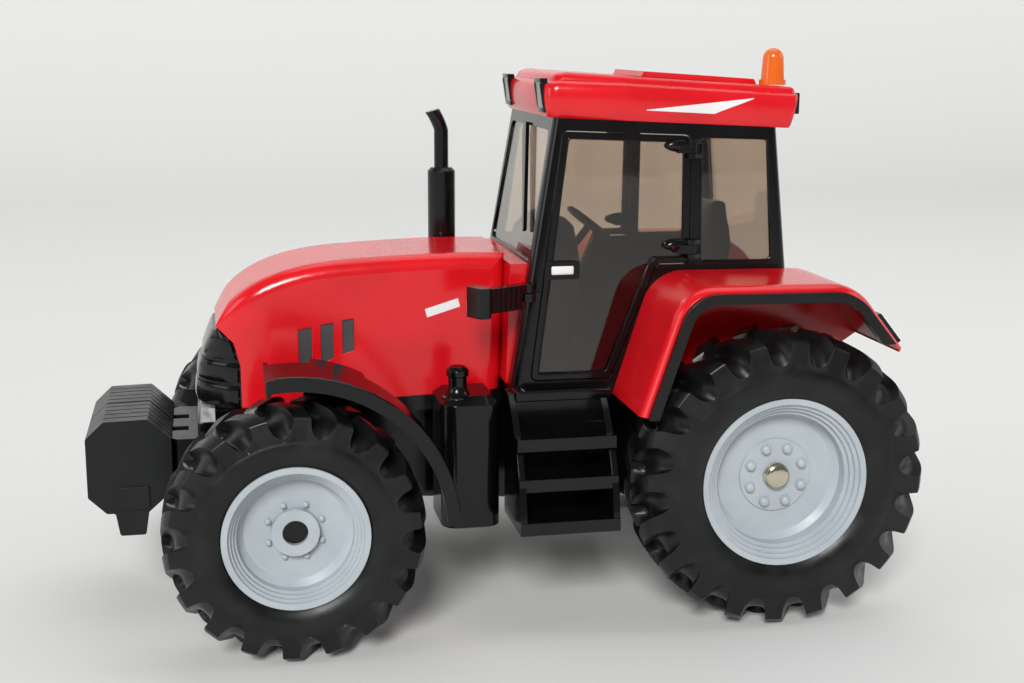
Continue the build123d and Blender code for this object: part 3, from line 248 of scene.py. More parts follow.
def soft_pvc():
    """Black plasticised PVC: blasted grain, dull sheen and a little dust in patches."""
    material, tree = start_material("black_soft_pvc_blasted")
    place = add_node(tree, "ShaderNodeTexCoord").outputs["Object"]
    patches = add_node(
        tree, "ShaderNodeTexNoise", {"Scale": 1 / (dust_mm * MM), "Detail": 4.0}, {"Vector": place}
    )
    dust = add_node(tree, "ShaderNodeValToRGB", links={"Fac": patches.outputs["Fac"]})
    dust.color_ramp.elements[0].position = 0.42
    dust.color_ramp.elements[0].color = linear("0C0D0D")
    dust.color_ramp.elements[1].position = 0.80
    dust.color_ramp.elements[1].color = linear("191C1B")
    grain = add_node(
        tree,
        "ShaderNodeTexNoise",
        {"Scale": 1 / (grain_mm * MM), "Detail": 3.0, "Roughness": 0.6},
        {"Vector": place},
    )
    rough = add_node(
        tree,
        "ShaderNodeMapRange",
        {"From Min": 0.35, "From Max": 0.7, "To Min": 0.28, "To Max": 0.42},
        {"Value": patches.outputs["Fac"]},
    )
    pitted = add_node(
        tree, "ShaderNodeBump", {"Strength": 1.0, "Distance": 0.03 * MM}, {"Height": grain.outputs["Fac"]}
    )
    surface = add_node(
        tree,
        "ShaderNodeBsdfPrincipled",
        {"IOR": 1.42, "Metallic": 0.0},
        {
            "Base Color": dust.outputs["Color"],
            "Roughness": rough.outputs["Result"],
            "Normal": pitted.outputs["Normal"],
        },
    )
    add_node(tree, "ShaderNodeOutputMaterial", links={"Surface": surface.outputs["BSDF"]})
    return material


tyre_pvc = soft_pvc()
print("tyre finish:", tyre_pvc.name)

# %% [markdown]
# ## Clear mouldings
# The windows are smoked polystyrene, which bends light more than window glass does and is tinted
# through its thickness. The beacon's dome is orange, and cloudy enough to glow when light falls
# on it.


# %% Transparent polystyrene
def clear_polystyrene(name, tint, roughness, transmission, ripple_mm):
    """Tinted polystyrene, with a faint ripple from the tool in its surface."""
    material, tree = start_material(name)
    place = add_node(tree, "ShaderNodeTexCoord").outputs["Object"]
    ripple = add_node(
        tree, "ShaderNodeTexNoise", {"Scale": 1 / (ripple_mm * MM), "Detail": 1.0}, {"Vector": place}
    )
    wavy = add_node(
        tree, "ShaderNodeBump", {"Strength": 1.0, "Distance": 0.012 * MM}, {"Height": ripple.outputs["Fac"]}
    )
    surface = add_node(
        tree,
        "ShaderNodeBsdfPrincipled",
        {
            "Base Color": linear(tint),
            "IOR": 1.59,
            "Roughness": roughness,
            "Transmission Weight": transmission,
        },
        {"Normal": wavy.outputs["Normal"]},
    )
    add_node(tree, "ShaderNodeOutputMaterial", links={"Surface": surface.outputs["BSDF"]})
    return material


smoked_ps = clear_polystyrene("smoked_polystyrene", "D9CBBD", 0.03, 1.0, 14.0)
orange_ps = clear_polystyrene("orange_polystyrene", "FF7A22", 0.16, 0.35, 8.0)
print("clear finishes:", smoked_ps.name, orange_ps.name)

# %% [markdown]
# ## Plated metal
# The rear axle is a steel rod with pressed-on domed caps, nickel plated and slightly warm in
# colour: it gives the eye one small, sharp light. The headlamps are hot-stamped with silver foil,
# which is less smooth than plating, so they look evenly bright and mirror nothing clearly.


# %% Nickel plate and silver foil
def plated(name, colour, roughness, ripple_mm, ripple_depth):
    """Bright metal with small dents and a slightly uneven polish."""
    material, tree = start_material(name)
    place = add_node(tree, "ShaderNodeTexCoord").outputs["Object"]
    polish = add_node(
        tree, "ShaderNodeTexNoise", {"Scale": 1 / (ripple_mm * MM), "Detail": 4.0}, {"Vector": place}
    )
    uneven = add_node(
        tree,
        "ShaderNodeMapRange",
        {"From Min": 0.3, "From Max": 0.7, "To Min": roughness * 0.7, "To Max": roughness * 1.5},
        {"Value": polish.outputs["Fac"]},
    )
    dents = add_node(
        tree,
        "ShaderNodeBump",
        {"Strength": 1.0, "Distance": ripple_depth * MM},
        {"Height": polish.outputs["Fac"]},
    )
    surface = add_node(
        tree,
        "ShaderNodeBsdfPrincipled",
        {"Base Color": linear(colour), "Metallic": 1.0},
        {"Roughness": uneven.outputs["Result"], "Normal": dents.outputs["Normal"]},
    )
    add_node(tree, "ShaderNodeOutputMaterial", links={"Surface": surface.outputs["BSDF"]})
    return material


nickel_plate = plated("nickel_plated_steel", "CFC8B4", 0.14, 1.2, 0.02)
silver_foil = plated("silver_foil_hot_stamped", "E4E6E6", 0.50, 2.5, 0.003)
print("metal finishes:", nickel_plate.name, silver_foil.name)

# %% [markdown]
# ## Dressing the CAD nodes
# The record gives every CAD node a material slot. A slot becomes one finish here, so each node
# gets its material by looking its slot up.

# %% Finish of each slot
finish_of_slot = {
    "red_plastic": red_abs,
    "black_plastic": black_abs,
    "dark_plastic": dark_abs,
    "grey_rim": rim_abs,
    "tyre": tyre_pvc,
    "smoked_glazing": smoked_ps,
    "grey_insert": vent_abs,
    "lamp_grey": lens_abs,
    "silver_lamp": silver_foil,
    "orange_lens": orange_ps,
    "bright_steel": nickel_plate,
}
for row in frame["record"]["subparts"]:
    dress(nodes[row["node"]], finish_of_slot[row["material_slot"]])

# %% [markdown]
# ## Making meshes and repeating them
# The moulded details fall into two families. Some are skins: rows of points joined by faces, such
# as the roof or one lug of a tyre. Others repeat a shape round an axle or sweep a section along a
# path, and Geometry Nodes do that with a few named sizes. A tree's result is turned into a plain
# mesh, because an exported model can't carry the tree with it.


# %% Skins and finished pieces
def skin(rows, closed_ring=True, closed_rows=False):
    """Points and faces of a surface through rows of equally many points."""
    count = len(rows[0])
    points = [point for row in rows for point in row]
    faces = []
    for i in range(len(rows) if closed_rows else len(rows) - 1):
        below, above = i * count, ((i + 1) % len(rows)) * count
        for j in range(count if closed_ring else count - 1):
            k = (j + 1) % count
            faces.append((below + j, below + k, above + k, above + j))
    return points, faces


def as_mesh(name, points, faces):
    """Mesh of points given in millimetres."""
    mesh = bpy.data.meshes.new(name)
    mesh.from_pydata([Vector(point) * MM for point in points], [], faces)
    return mesh


def finish_piece(name, mesh, material, body, sharp_degrees=50.0):
    """A closed piece with outward faces and smooth shading, riding on its body."""
    work = bmesh.new()
    work.from_mesh(mesh)
    bmesh.ops.remove_doubles(work, verts=work.verts, dist=0.002 * MM)
    bmesh.ops.recalc_face_normals(work, faces=work.faces)
    work.to_mesh(mesh)
    work.free()
    mesh.shade_smooth()
    mesh.set_sharp_from_angle(angle=math.radians(sharp_degrees))
    piece = bpy.data.objects.new(name, mesh)
    bpy.context.scene.collection.objects.link(piece)
    dress(piece, material)
    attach(piece, body)
    return piece


print("skin of a cube:", len(skin([[(0, 0, 0), (1, 0, 0), (1, 1, 0), (0, 1, 0)]] * 2)[1]), "side faces")


# %% [markdown]
# ## Two node trees
# Studs and lugs repeat round an axle, and seals and beads are a round section swept along a path.
# Both could be made by loops, but a tree shows its rule as a few nodes with named sizes. A tree is
# opened, filled and closed. Closing it makes instances real, because the export drops them, and
# sets the finish. A modifier's input is set by its socket's identifier, before the tree first runs.


# %% Building a tree and keeping its result
def start_tree(name, sizes):
    """A Geometry Nodes tree that takes a geometry and named sizes."""
    tree = bpy.data.node_groups.new(name, "GeometryNodeTree")
    tree.interface.new_socket("Geometry", in_out="INPUT", socket_type="NodeSocketGeometry")
    for label, kind in sizes:
        tree.interface.new_socket(label, in_out="INPUT", socket_type=kind)
    tree.interface.new_socket("Finish", in_out="INPUT", socket_type="NodeSocketMaterial")
    tree.interface.new_socket("Geometry", in_out="OUTPUT", socket_type="NodeSocketGeometry")
    return tree, add_node(tree, "NodeGroupInput")


def end_tree(tree, entry, geometry):
    """Closes a tree: real geometry in place of instances, then its finish."""
    real = add_node(tree, "GeometryNodeRealizeInstances", links={"Geometry": geometry})
    dressed = add_node(
        tree,
        "GeometryNodeSetMaterial",
        links={"Geometry": real.outputs[0], "Material": entry.outputs["Finish"]},
    )
    add_node(tree, "NodeGroupOutput", links={"Geometry": dressed.outputs[0]})


def run_tree(tree, name, mesh, material, body, sizes, sharp_degrees=50.0):
    """Runs a tree on a mesh and keeps the result as a plain finished piece."""
    source = bpy.data.objects.new(name + "_source", mesh)
    bpy.context.scene.collection.objects.link(source)
    modifier = source.modifiers.new("shape", "NODES")
    modifier.node_group = tree
    for item in tree.interface.items_tree:
        if item.in_out == "INPUT" and item.name in sizes:
            modifier[item.identifier] = sizes[item.name]
        if item.in_out == "INPUT" and item.name == "Finish":
            modifier[item.identifier] = material
    depsgraph = bpy.context.evaluated_depsgraph_get()
    result = bpy.data.meshes.new_from_object(source.evaluated_get(depsgraph), depsgraph=depsgraph)
    result.name = name
    source.modifiers.remove(modifier)
    bpy.data.objects.remove(source)
    return finish_piece(name, result, material, body, sharp_degrees)


# %% Tree: repeat a shape round an axle
ring_sizes = [("Count", "NodeSocketInt"), ("Centre", "NodeSocketVector"), ("Axle", "NodeSocketVector")]
ring_tree, ring_in = start_tree("repeat_round_axle", ring_sizes)
ring_points = add_node(
    ring_tree,
    "GeometryNodePoints",
    links={"Count": ring_in.outputs["Count"], "Position": ring_in.outputs["Centre"]},
)
ring_index = add_node(ring_tree, "GeometryNodeInputIndex")
ring_share = add_node(
    ring_tree,
    "ShaderNodeMath",
    links={0: ring_index.outputs[0], 1: ring_in.outputs["Count"]},
    operation="DIVIDE",
)
ring_angle = add_node(
    ring_tree, "ShaderNodeMath", {1: math.tau}, {0: ring_share.outputs[0]}, operation="MULTIPLY"
)
ring_turn = add_node(
    ring_tree,
    "FunctionNodeAxisAngleToRotation",
    links={"Axis": ring_in.outputs["Axle"], "Angle": ring_angle.outputs[0]},
)
ring_copies = add_node(
    ring_tree,
    "GeometryNodeInstanceOnPoints",
    links={
        "Points": ring_points.outputs[0],
        "Instance": ring_in.outputs["Geometry"],
        "Rotation": ring_turn.outputs[0],
    },
)
end_tree(ring_tree, ring_in, ring_copies.outputs[0])
print("ring tree nodes:", len(ring_tree.nodes))

# %% Tree: sweep a round bead along a path
bead_sizes = [("Radius", "NodeSocketFloat"), ("Corner", "NodeSocketFloat")]
bead_tree, bead_in = start_tree("bead_along_path", bead_sizes)
bead_path = add_node(bead_tree, "GeometryNodeMeshToCurve", links={"Mesh": bead_in.outputs["Geometry"]})
bead_round = add_node(
    bead_tree,
    "GeometryNodeFilletCurve",
    {"Count": 5, "Limit Radius": True},
    {"Curve": bead_path.outputs[0], "Radius": bead_in.outputs["Corner"]},
    mode="POLY",
)
bead_section = add_node(
    bead_tree, "GeometryNodeCurvePrimitiveCircle", {"Resolution": 12}, {"Radius": bead_in.outputs["Radius"]}
)
bead_body = add_node(
    bead_tree,
    "GeometryNodeCurveToMesh",
    {"Fill Caps": True},
    {"Curve": bead_round.outputs[0], "Profile Curve": bead_section.outputs[0]},
)
end_tree(bead_tree, bead_in, bead_body.outputs[0])


def bead(name, points, radius, material, body, corner=0.0, closed=True):
    """A round bead along points in millimetres."""
    mesh = bpy.data.meshes.new(name)
    links = len(points) if closed else len(points) - 1
    edges = [(i, (i + 1) % len(points)) for i in range(links)]
    mesh.from_pydata([Vector(point) * MM for point in points], edges, [])
    sizes = {"Radius": radius * MM, "Corner": corner * MM}
    return run_tree(bead_tree, name, mesh, material, body, sizes)


print("bead tree nodes:", len(bead_tree.nodes))

# %% [markdown]
# ## Tyres
# A tractor tyre carries two rows of hooked lugs, half a pitch apart. Each lug is nearly square to
# the tyre at the shoulder, sweeps forward to the middle and leaves a rounded scoop before the next
# one. The rule is simple when it is followed outwards from the middle: at every place across the
# tyre there is a lead, a lug width, a lug height and a scoop depth. One pitch of the tyre is built
# from that rule and the ring tree repeats it, 20 times on the rear wheels and 18 at the front.
# Each half is a closed shell of its own, and the noses of the lugs reach a little past the middle
# between those of the other side, as they do on the real tyre.


# %% The rule of one pitch
nose_past_middle = 0.13
wall_across = 0.97
lug_foot = 0.775
scoop_floor = 0.79
scoop_steps = (0.0, 0.22, 0.42, 0.60, 0.75, 0.86, 0.94, 0.985)


def lug_columns(across):
    """Pairs of place within a pitch and share of the lug's height, at a place across the tyre."""
    reach = min(max(across, 0.0), 1.0)
    half_top = 0.16 + 0.05 * reach
    power = 3.6 - 1.4 * reach
    rising = [(0.5 - t * (0.5 - half_top), 1 - (1 - t ** power) ** (1 / power)) for t in scoop_steps]
    top = [(half_top - 0.012, 1.0), (half_top * 0.4, 1.0)]
    falling = [(-place, height) for place, height in reversed(rising + top)]
    return rising + top + falling


def tread_radii(across, radius, lug_height):
    """Radius of the lugs' tips and of the scoops' floors at a place across the tyre."""
    carcass = radius - lug_height
    shoulder = max(across - 0.5, 0.0) / (wall_across - 0.5)
    fall = max(across - 0.3, 0.0) / (wall_across - 0.3)
    tip = radius * (1 - 0.06 * shoulder ** 2)
    if across < 0.0:
        tip = radius - (lug_height + 0.3) * (across / nose_past_middle) ** 2
    return tip, carcass - (carcass - scoop_floor * radius) * fall ** 2.8


def pitch_row(count, across, y, tip, floor_radius):
    """One row of points across a pitch, from scoop to scoop."""
    lead = 0.36 - 0.68 * across + 0.105 * across ** 2
    row = []
    for place, height in lug_columns(across):
        turn = math.tau / count * (lead + place)
        reach = floor_radius + (tip - floor_radius) * height
        row.append((reach * math.sin(turn), y, reach * math.cos(turn)))
    return row


print("columns in a pitch:", len(lug_columns(0.0)))


# %% One pitch of both halves, and the ring
tread_places = (
    -nose_past_middle, -0.10, -0.06, -0.02, 0.04, 0.12, 0.2, 0.3, 0.4, 0.5, 0.6, 0.7, 0.78, 0.86, 0.92
)
wall_steps = (0.0, 0.1, 0.2, 0.3, 0.4, 0.5, 0.6, 0.7, 0.8, 0.88, 0.95, 1.0)


def half_pitch_shell(count, radius, lug_height, half, bead_rows):
    """Rows of one closed half of the tyre over one pitch, from the middle round to the bead."""
    rows = []
    for across in tread_places:
        tip, floor_radius = tread_radii(across, radius, lug_height)
        rows.append(pitch_row(count, across, across * half, tip, floor_radius))
    tip, floor_radius = tread_radii(0.95, radius, lug_height)
    rows.append(pitch_row(count, 0.95, half - 0.62, tip, floor_radius))
    rows.append(pitch_row(count, wall_across, half - 0.4, tip - 0.5, floor_radius - 0.3))
    for y, wall_radius in bead_rows:
        rows.append(pitch_row(count, wall_across, y, wall_radius, wall_radius))
    return rows


def wall_rows(radius, half, rim_radius, bead_depth, flange):
    """Sidewall from the lugs' feet down to the rim, then the bead and the hidden inside."""
    foot = lug_foot * radius
    bulge = 0.35
    rows = []
    for step in wall_steps:
        near_foot = max(bulge - step, 0.0) / bulge
        near_rim = max(step - bulge, 0.0) / (1 - bulge)
        rows.append((half - 0.75 * near_foot ** 2 - 2.1 * near_rim ** 2.4, foot + (rim_radius - foot) * step))
    rows += [(flange - 2.2, rim_radius), (flange - 3.6, rim_radius - bead_depth)]
    return rows + [(-nose_past_middle * half, rim_radius - bead_depth)]


def swung(rows, turn):
    """Rows mirrored to the other half of the tyre and turned about the axle."""
    cosine, sine = math.cos(turn), math.sin(turn)
    return [[(x * cosine + z * sine, -y, z * cosine - x * sine) for x, y, z in row] for row in rows]


def make_tyre(wheel, count, lug_height, bead_depth):
    """Tyre of a wheel, fitted to the CAD tyre and rim that carry it."""
    tyre, rim = wheel.replace("wheel", "tyre"), wheel.replace("wheel", "rim")
    tyre_low, tyre_high = low(tyre), high(tyre)
    rim_low, rim_high = low(rim), high(rim)
    side = 1 if tyre_high.y > 0 else -1
    radius = (tyre_high.z - tyre_low.z) / 2
    half = (tyre_high.y - tyre_low.y + 0.4) / 2
    middle = max(abs(tyre_high.y), abs(tyre_low.y)) - half
    rim_radius = (rim_high.z - rim_low.z) / 2
    flange = max(abs(rim_high.y), abs(rim_low.y)) - middle
    centre = (tyre_high + tyre_low) / 2
    outer_wall = wall_rows(radius, half, rim_radius, bead_depth, flange)
    inner_wall = [
        (half - 0.4, lug_foot * radius),
        (half - 0.2, 0.7 * radius),
        (half - 0.8, rim_radius - bead_depth),
        (-nose_past_middle * half, rim_radius - bead_depth),
    ]
    outer = half_pitch_shell(count, radius, lug_height, half, outer_wall)
    inner = swung(half_pitch_shell(count, radius, lug_height, half, inner_wall), math.tau / count / 2)
    outer_points, outer_faces = skin(outer, closed_ring=False, closed_rows=True)
    inner_points, inner_faces = skin(inner, closed_ring=False, closed_rows=True)
    points = [(x, side * y, z) for x, y, z in outer_points + inner_points]
    shift = len(outer_points)
    faces = outer_faces + [tuple(i + shift for i in face) for face in inner_faces]
    sizes = {
        "Count": count,
        "Centre": (centre.x * MM, side * middle * MM, centre.z * MM),
        "Axle": (0.0, 1.0, 0.0),
    }
    name = tyre + "_lugged"
    piece = run_tree(ring_tree, name, as_mesh(name, points, faces), tyre_pvc, wheel, sizes, 42.0)
    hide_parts(tyre)
    return piece


for side_name in ("left", "right"):
    rear_tyre = make_tyre("rear_wheel_" + side_name, count=20, lug_height=5.3, bead_depth=2.8)
    front_tyre = make_tyre("front_wheel_" + side_name, count=18, lug_height=4.3, bead_depth=1.9)
print("faces: rear tyre", len(rear_tyre.data.polygons), "front tyre", len(front_tyre.data.polygons))

# %% [markdown]
# ## Wheel studs
# Each rim has eight domed studs moulded round its hub, in the same plastic. One dome is turned
# from a short profile and the ring tree sets it round the hub, on top of the plain CAD stud.


# %% Domed studs round the hubs
stud_count = 8
dome_sides = 16
dome_profile = ((1.0, 0.0), (1.0, 0.45), (0.92, 0.68), (0.74, 0.86), (0.45, 0.97), (0.0, 1.0))


def dome(radius, height, place, away):
    """Points and faces of a dome about the Y axis, standing at a place and pointing away."""
    x, y, z = place
    ring = [math.tau * i / dome_sides for i in range(dome_sides)]
    rows = []
    for share, lift in dome_profile:
        reach, out = radius * share, y + away * height * lift
        rows.append([(x + reach * math.cos(a), out, z + reach * math.sin(a)) for a in ring])
    points, faces = skin(rows)
    return points, faces + [tuple(reversed(range(dome_sides)))]


def add_studs(wheel, circle, radius, height, depth):
    """Eight domed studs at a depth behind the rim's face."""
    rim = wheel.replace("wheel", "rim")
    rim_low, rim_high = low(rim), high(rim)
    side = 1 if rim_high.y > 0 else -1
    face_y = max(abs(rim_high.y), abs(rim_low.y))
    centre = (rim_high + rim_low) / 2
    half_step = math.tau / stud_count / 2
    place = (circle * math.sin(half_step), 0.0, circle * math.cos(half_step))
    points, faces = dome(radius, height, place, side)
    sizes = {
        "Count": stud_count,
        "Centre": (centre.x * MM, side * (face_y - depth) * MM, centre.z * MM),
        "Axle": (0.0, 1.0, 0.0),
    }
    name = wheel.replace("wheel", "studs")
    return run_tree(ring_tree, name, as_mesh(name, points, faces), rim_abs, wheel, sizes)


for side_name in ("left", "right"):
    add_studs("rear_wheel_" + side_name, circle=10.6, radius=1.9, height=2.5, depth=10.8)
    add_studs("front_wheel_" + side_name, circle=9.9, radius=1.15, height=1.8, depth=10.3)

# %% [markdown]
# ## Roof
# The roof is one hollow red moulding. Its side band bulges a little and turns round soft front
# corners, a narrow ledge runs above it, and the crest stands inside the ledge. It could be cut
# from a block, but a moulding like this is easier to follow as loops: each loop is the outline of
# the roof at one height, and the skin runs over them from the hem to the crest and back inside.


# %% Loops of the roof
def round_loop(corners, steps=7):
    """Closed loop through corners given as (x, y, radius), each turned by an arc."""
    loop = []
    for i, (x, y, radius) in enumerate(corners):
        corner = Vector((x, y))
        before = (Vector(corners[i - 1][:2]) - corner).normalized()
        after = (Vector(corners[(i + 1) % len(corners)][:2]) - corner).normalized()
        half_angle = before.angle(after) / 2
        back_off = radius / math.tan(half_angle)
        hub = corner + (before + after).normalized() * radius / math.sin(half_angle)
        start = corner + before * back_off - hub
        sweep = (corner + after * back_off - hub).angle_signed(start)
        for step in range(steps):
            turn = Matrix.Rotation(sweep * step / (steps - 1), 2)
            loop.append(hub + turn @ start)
    return loop


crest_front, crest_rear = (-26.0, 198.6), (-108.0, 193.4)
crest_slope = (crest_front[1] - crest_rear[1]) / (crest_front[0] - crest_rear[0])
hem_slope = 4.1 / 84.7
waist_x, waist_corner, rear_corner = -48.0, 20.0, 2.0


def crest_z(x):
    """Height of the roof's top, which dips ahead of the crest."""
    if x > crest_front[0]:
        return crest_front[1] - 0.13 * (x - crest_front[0])
    return crest_front[1] + crest_slope * (x - crest_front[0])


def hem_z(x):
    """Height of the roof's lower edge, which sits on the cab's walls."""
    return 182.5 + hem_slope * (x + 20.4)


def roof_loop(drop, front, rear, front_half, half, corner):
    """Outline of the roof at a drop below its crest, or at its hem where no drop is given."""
    plan = round_loop(
        [
            (front, front_half, corner),
            (waist_x, half, waist_corner),
            (rear, half, rear_corner),
            (rear, -half, rear_corner),
            (waist_x, -half, waist_corner),
            (front, -front_half, corner),
        ]
    )
    return [(x, y, hem_z(x) if drop is None else crest_z(x) - drop) for x, y in plan]


# Each level: drop below the crest, front, rear, half width at the front, half width, corner.
band = (
    (None, -18.6, -110.3, 37.9, 40.3, 4.4),
    (14.0, -17.9, -110.8, 38.4, 41.0, 4.8),
    (11.0, -17.3, -111.5, 38.8, 41.5, 5.0),
    (8.0, -17.0, -112.2, 38.9, 41.6, 5.0),
    (5.4, -16.9, -112.8, 38.7, 41.4, 5.0),
    (3.6, -17.1, -113.2, 38.1, 40.8, 5.0),
    (2.8, -17.8, -113.5, 37.2, 39.8, 4.8),
    (2.5, -18.8, -113.6, 36.0, 38.6, 4.6),
    (2.4, -20.6, -113.6, 34.2, 36.8, 4.4),
    (1.1, -21.1, -113.5, 33.8, 36.3, 4.2),
    (0.4, -21.7, -113.2, 33.2, 35.7, 4.0),
    (0.0, -22.9, -112.4, 32.2, 34.7, 3.6),
)
roof_loops = [roof_loop(*level) for level in band]
inside = [roof_loop(None, -20.6, -108.4, 35.9, 38.3, 2.4), roof_loop(4.6, -20.0, -109.0, 35.9, 38.6, 2.4)]
roof_points, roof_faces = skin(inside[::-1] + roof_loops)
ring_size = len(roof_loops[0])
roof_faces.append(tuple(range(ring_size)))
roof_faces.append(tuple(range(len(roof_points) - ring_size, len(roof_points))))
roof_mesh = as_mesh("roof_moulding", roof_points, roof_faces)
roof = finish_piece("roof_moulding", roof_mesh, red_abs, "chassis", 38.0)
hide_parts("roof")
print("roof faces:", len(roof.data.polygons))

# %% [markdown]
# ## Lamps of the roof
# Each front work lamp is a grey lens in a raised black frame, set in the red face of the roof. The
# rear lamps are black blocks under the roof's rear lip, so a black cover stands over each grey
# CAD block there. Two small red clips sit on the roof's ledge on each side.


# %% Lens frames, lamp covers and clips
def block(name, corner_low, corner_high, material, body, rounding=0.3):
    """A box between two corners in millimetres, with rounded edges."""
    work = bmesh.new()
    bmesh.ops.create_cube(work, size=1.0)
    for vertex in work.verts:
        spans = zip(corner_low, corner_high, vertex.co)
        vertex.co = [(a + b) / 2 * MM + place * (b - a) * MM for a, b, place in spans]
    bmesh.ops.bevel(work, geom=work.edges[:], offset=rounding * MM, segments=3, profile=0.5, affect="EDGES")
    mesh = bpy.data.meshes.new(name)
    work.to_mesh(mesh)
    work.free()
    return finish_piece(name, mesh, material, body, 80.0)


def both(span, side):
    """A span across the tractor on one side, lowest value first."""
    return tuple(sorted((side * span[0], side * span[1])))


def lamp_x(z):
    """Front of the work lamps' lenses, which lean forward a little at the top."""
    return -17.0 + 0.122 * (z - 185.5)


def frame_bar(name, y_span, z_span, side):
    """One bar of a lamp's frame, standing just proud of the lens, with its face drawn in a fifth."""
    (y_inner, y_outer), (z_low, z_high) = y_span, z_span
    corners = ((y_inner, z_low), (y_outer, z_low), (y_outer, z_high), (y_inner, z_high))
    middle_y, middle_z = side * (y_inner + y_outer) / 2, (z_low + z_high) / 2
    rows = [[(lamp_x(z) + proud, side * y, z) for y, z in corners] for proud in (-2.6, 0.1, 0.3)]
    rows[2] = [(x, y + (middle_y - y) * 0.2, z + (middle_z - z) * 0.2) for x, y, z in rows[2]]
    points, faces = skin(rows)
    faces += [(0, 1, 2, 3), (8, 9, 10, 11)]
    return finish_piece(name, as_mesh(name, points, faces), black_abs, "chassis", 30.0)


lens_frame = {
    "top": ((24.3, 34.9), (195.0, 196.5)),
    "bottom": ((24.3, 34.9), (184.2, 185.8)),
    "inner": ((24.3, 25.8), (185.8, 195.0)),
    "outer": ((33.4, 34.9), (185.8, 195.0)),
}
clip_places = {"50": -50.2, "63": -63.7}
clip_half = 0.9
for side, side_name in SIDES:
    for bar, (y_span, z_span) in lens_frame.items():
        frame_bar("work_lamp_frame_" + bar + "_" + side_name, y_span, z_span, side)
    y_low, y_high = both((20.1, 33.9), side)
    cover = ((-116.2, y_low, 183.0), (-111.6, y_high, 190.8))
    block("rear_lamp_cover_" + side_name, *cover, black_abs, "chassis")
    y_low, y_high = both((35.2, 37.4), side)
    for label, x in clip_places.items():
        clip = ((x - clip_half, y_low, 192.0), (x + clip_half, y_high, 195.6))
        block("roof_clip_" + side_name + "_" + label, *clip, red_abs, "chassis", 0.25)
print("roof lamps framed")

# %% [markdown]
# ## Door details
# A white insert sits in the black plate of each door handle, and two oval tabs reach forward over
# the pane from its hinges. The tabs are turned from an outline of an ellipse, thick in the middle.


# %% Handle inserts and hinge tabs
tab_profile = ((1.0, -0.6), (1.0, 0.5), (0.9, 1.2), (0.7, 1.7), (0.35, 2.0), (0.0, 2.1))
tab_heights = {"lower": 135.4, "upper": 172.2}
tab_x = -66.8
tab_half_length, tab_half_height = 5.6, 2.5
tab_points = 24


def cab_side_y(z):
    """Outer face of the cab's side at a height, which leans inwards."""
    return 44.5 - 4.1 * (z - 84.0) / 100.0


def hinge_tab(name, z, side, body):
    """An oval tab lying on the pane, forward of the hinge."""
    rows = []
    for share, lift in tab_profile:
        row = []
        for i in range(tab_points):
            turn = math.tau * i / tab_points
            forward = tab_half_length * math.cos(turn)
            rise = tab_half_height * math.sin(turn) * (1 - 0.18 * math.cos(turn))
            row.append((tab_x + share * forward, side * (cab_side_y(z) + lift), z + share * rise))
        rows.append(row)
    points, faces = skin(rows)
    faces.append(tuple(reversed(range(tab_points))))
    return finish_piece(name, as_mesh(name, points, faces), black_abs, body, 40.0)


for side, side_name in SIDES:
    door = "door_" + side_name
    y_low, y_high = both((42.6, 43.95), side)
    insert = ((-26.9, y_low, 125.7), (-18.5, y_high, 128.9))
    block("handle_insert_" + side_name, *insert, white_abs, door, 0.55)
    for label, z in tab_heights.items():
        hinge_tab("hinge_tab_" + label + "_" + side_name, z, side, door)
print("door details on both sides")

# %% [markdown]
# ## Window seals
# Each side pane sits in a thin black seal, which shows as a fine bright line where it catches the
# light. The seal follows the pane's outline up the leaning side of the cab, so it is a bead along
# a path, and the bead tree rounds the path's corners.


# %% Seals round the side panes
door_pane = [(-13.5, 88.8), (-25.0, 175.3), (-69.0, 173.5), (-69.0, 131.0), (-57.1, 131.0), (-39.6, 88.8)]
quarter_pane = [(-75.7, 129.1), (-75.5, 175.2), (-101.3, 174.3), (-103.8, 129.1)]
seal_radius, seal_corner, seal_lift = 0.38, 1.6, 0.02
for side, side_name in SIDES:
    panes = (("door", door_pane, "door_" + side_name), ("quarter", quarter_pane, "chassis"))
    for label, pane, carrier in panes:
        path = [(x, side * (cab_side_y(z) + seal_lift), z) for x, z in pane]
        seal = bead(label + "_seal_" + side_name, path, seal_radius, black_abs, carrier, corner=seal_corner)
print("faces in a seal:", len(seal.data.polygons))

# %% [markdown]
# ## Printed stripes
# A plain white flash is printed on each side of the roof and of the bonnet. A print is too thin to
# see edge-on, so each one is a closed film a fraction of a millimetre thick that follows the
# bulge beneath it. Rays from the side find that bulge.


# %% Plain flashes
ray_start_y = 200.0
film_proud, film_thickness = 0.08, 0.5


def surface_y(node, x, z, side):
    """Where a ray from the side first meets a piece, as a distance from the middle plane."""
    piece = bpy.data.objects[node]
    start = Vector((x, side * ray_start_y, z)) * MM
    hit, place, normal, index = piece.ray_cast(start, Vector((0.0, -side, 0.0)))
    return abs(place.y) / MM if hit else None


def flash(name, outline_rows, node, side):
    """A thin film over a piece, through rows of (x, z) across the flash."""
    outer = []
    for row in outline_rows:
        outer.append([(x, side * (surface_y(node, x, z, side) + film_proud), z) for x, z in row])
    inner = [[(x, y - side * film_thickness, z) for x, y, z in row] for row in outer]
    across = len(outer[0])
    rows = [list(o) + list(reversed(i)) for o, i in zip(outer, inner)]
    points, faces = skin(rows)
    faces.append(tuple(range(2 * across - 1, -1, -1)))
    faces.append(tuple(range(len(points) - 2 * across, len(points))))
    return finish_piece(name, as_mesh(name, points, faces), white_abs, "chassis", 60.0)


def along(start, end, steps):
    """Evenly spaced points of a line between two points of (x, z)."""
    (x, z), run, rise = start, end[0] - start[0], end[1] - start[1]
    return [(x + run * i / steps, z + rise * i / steps) for i in range(steps + 1)]


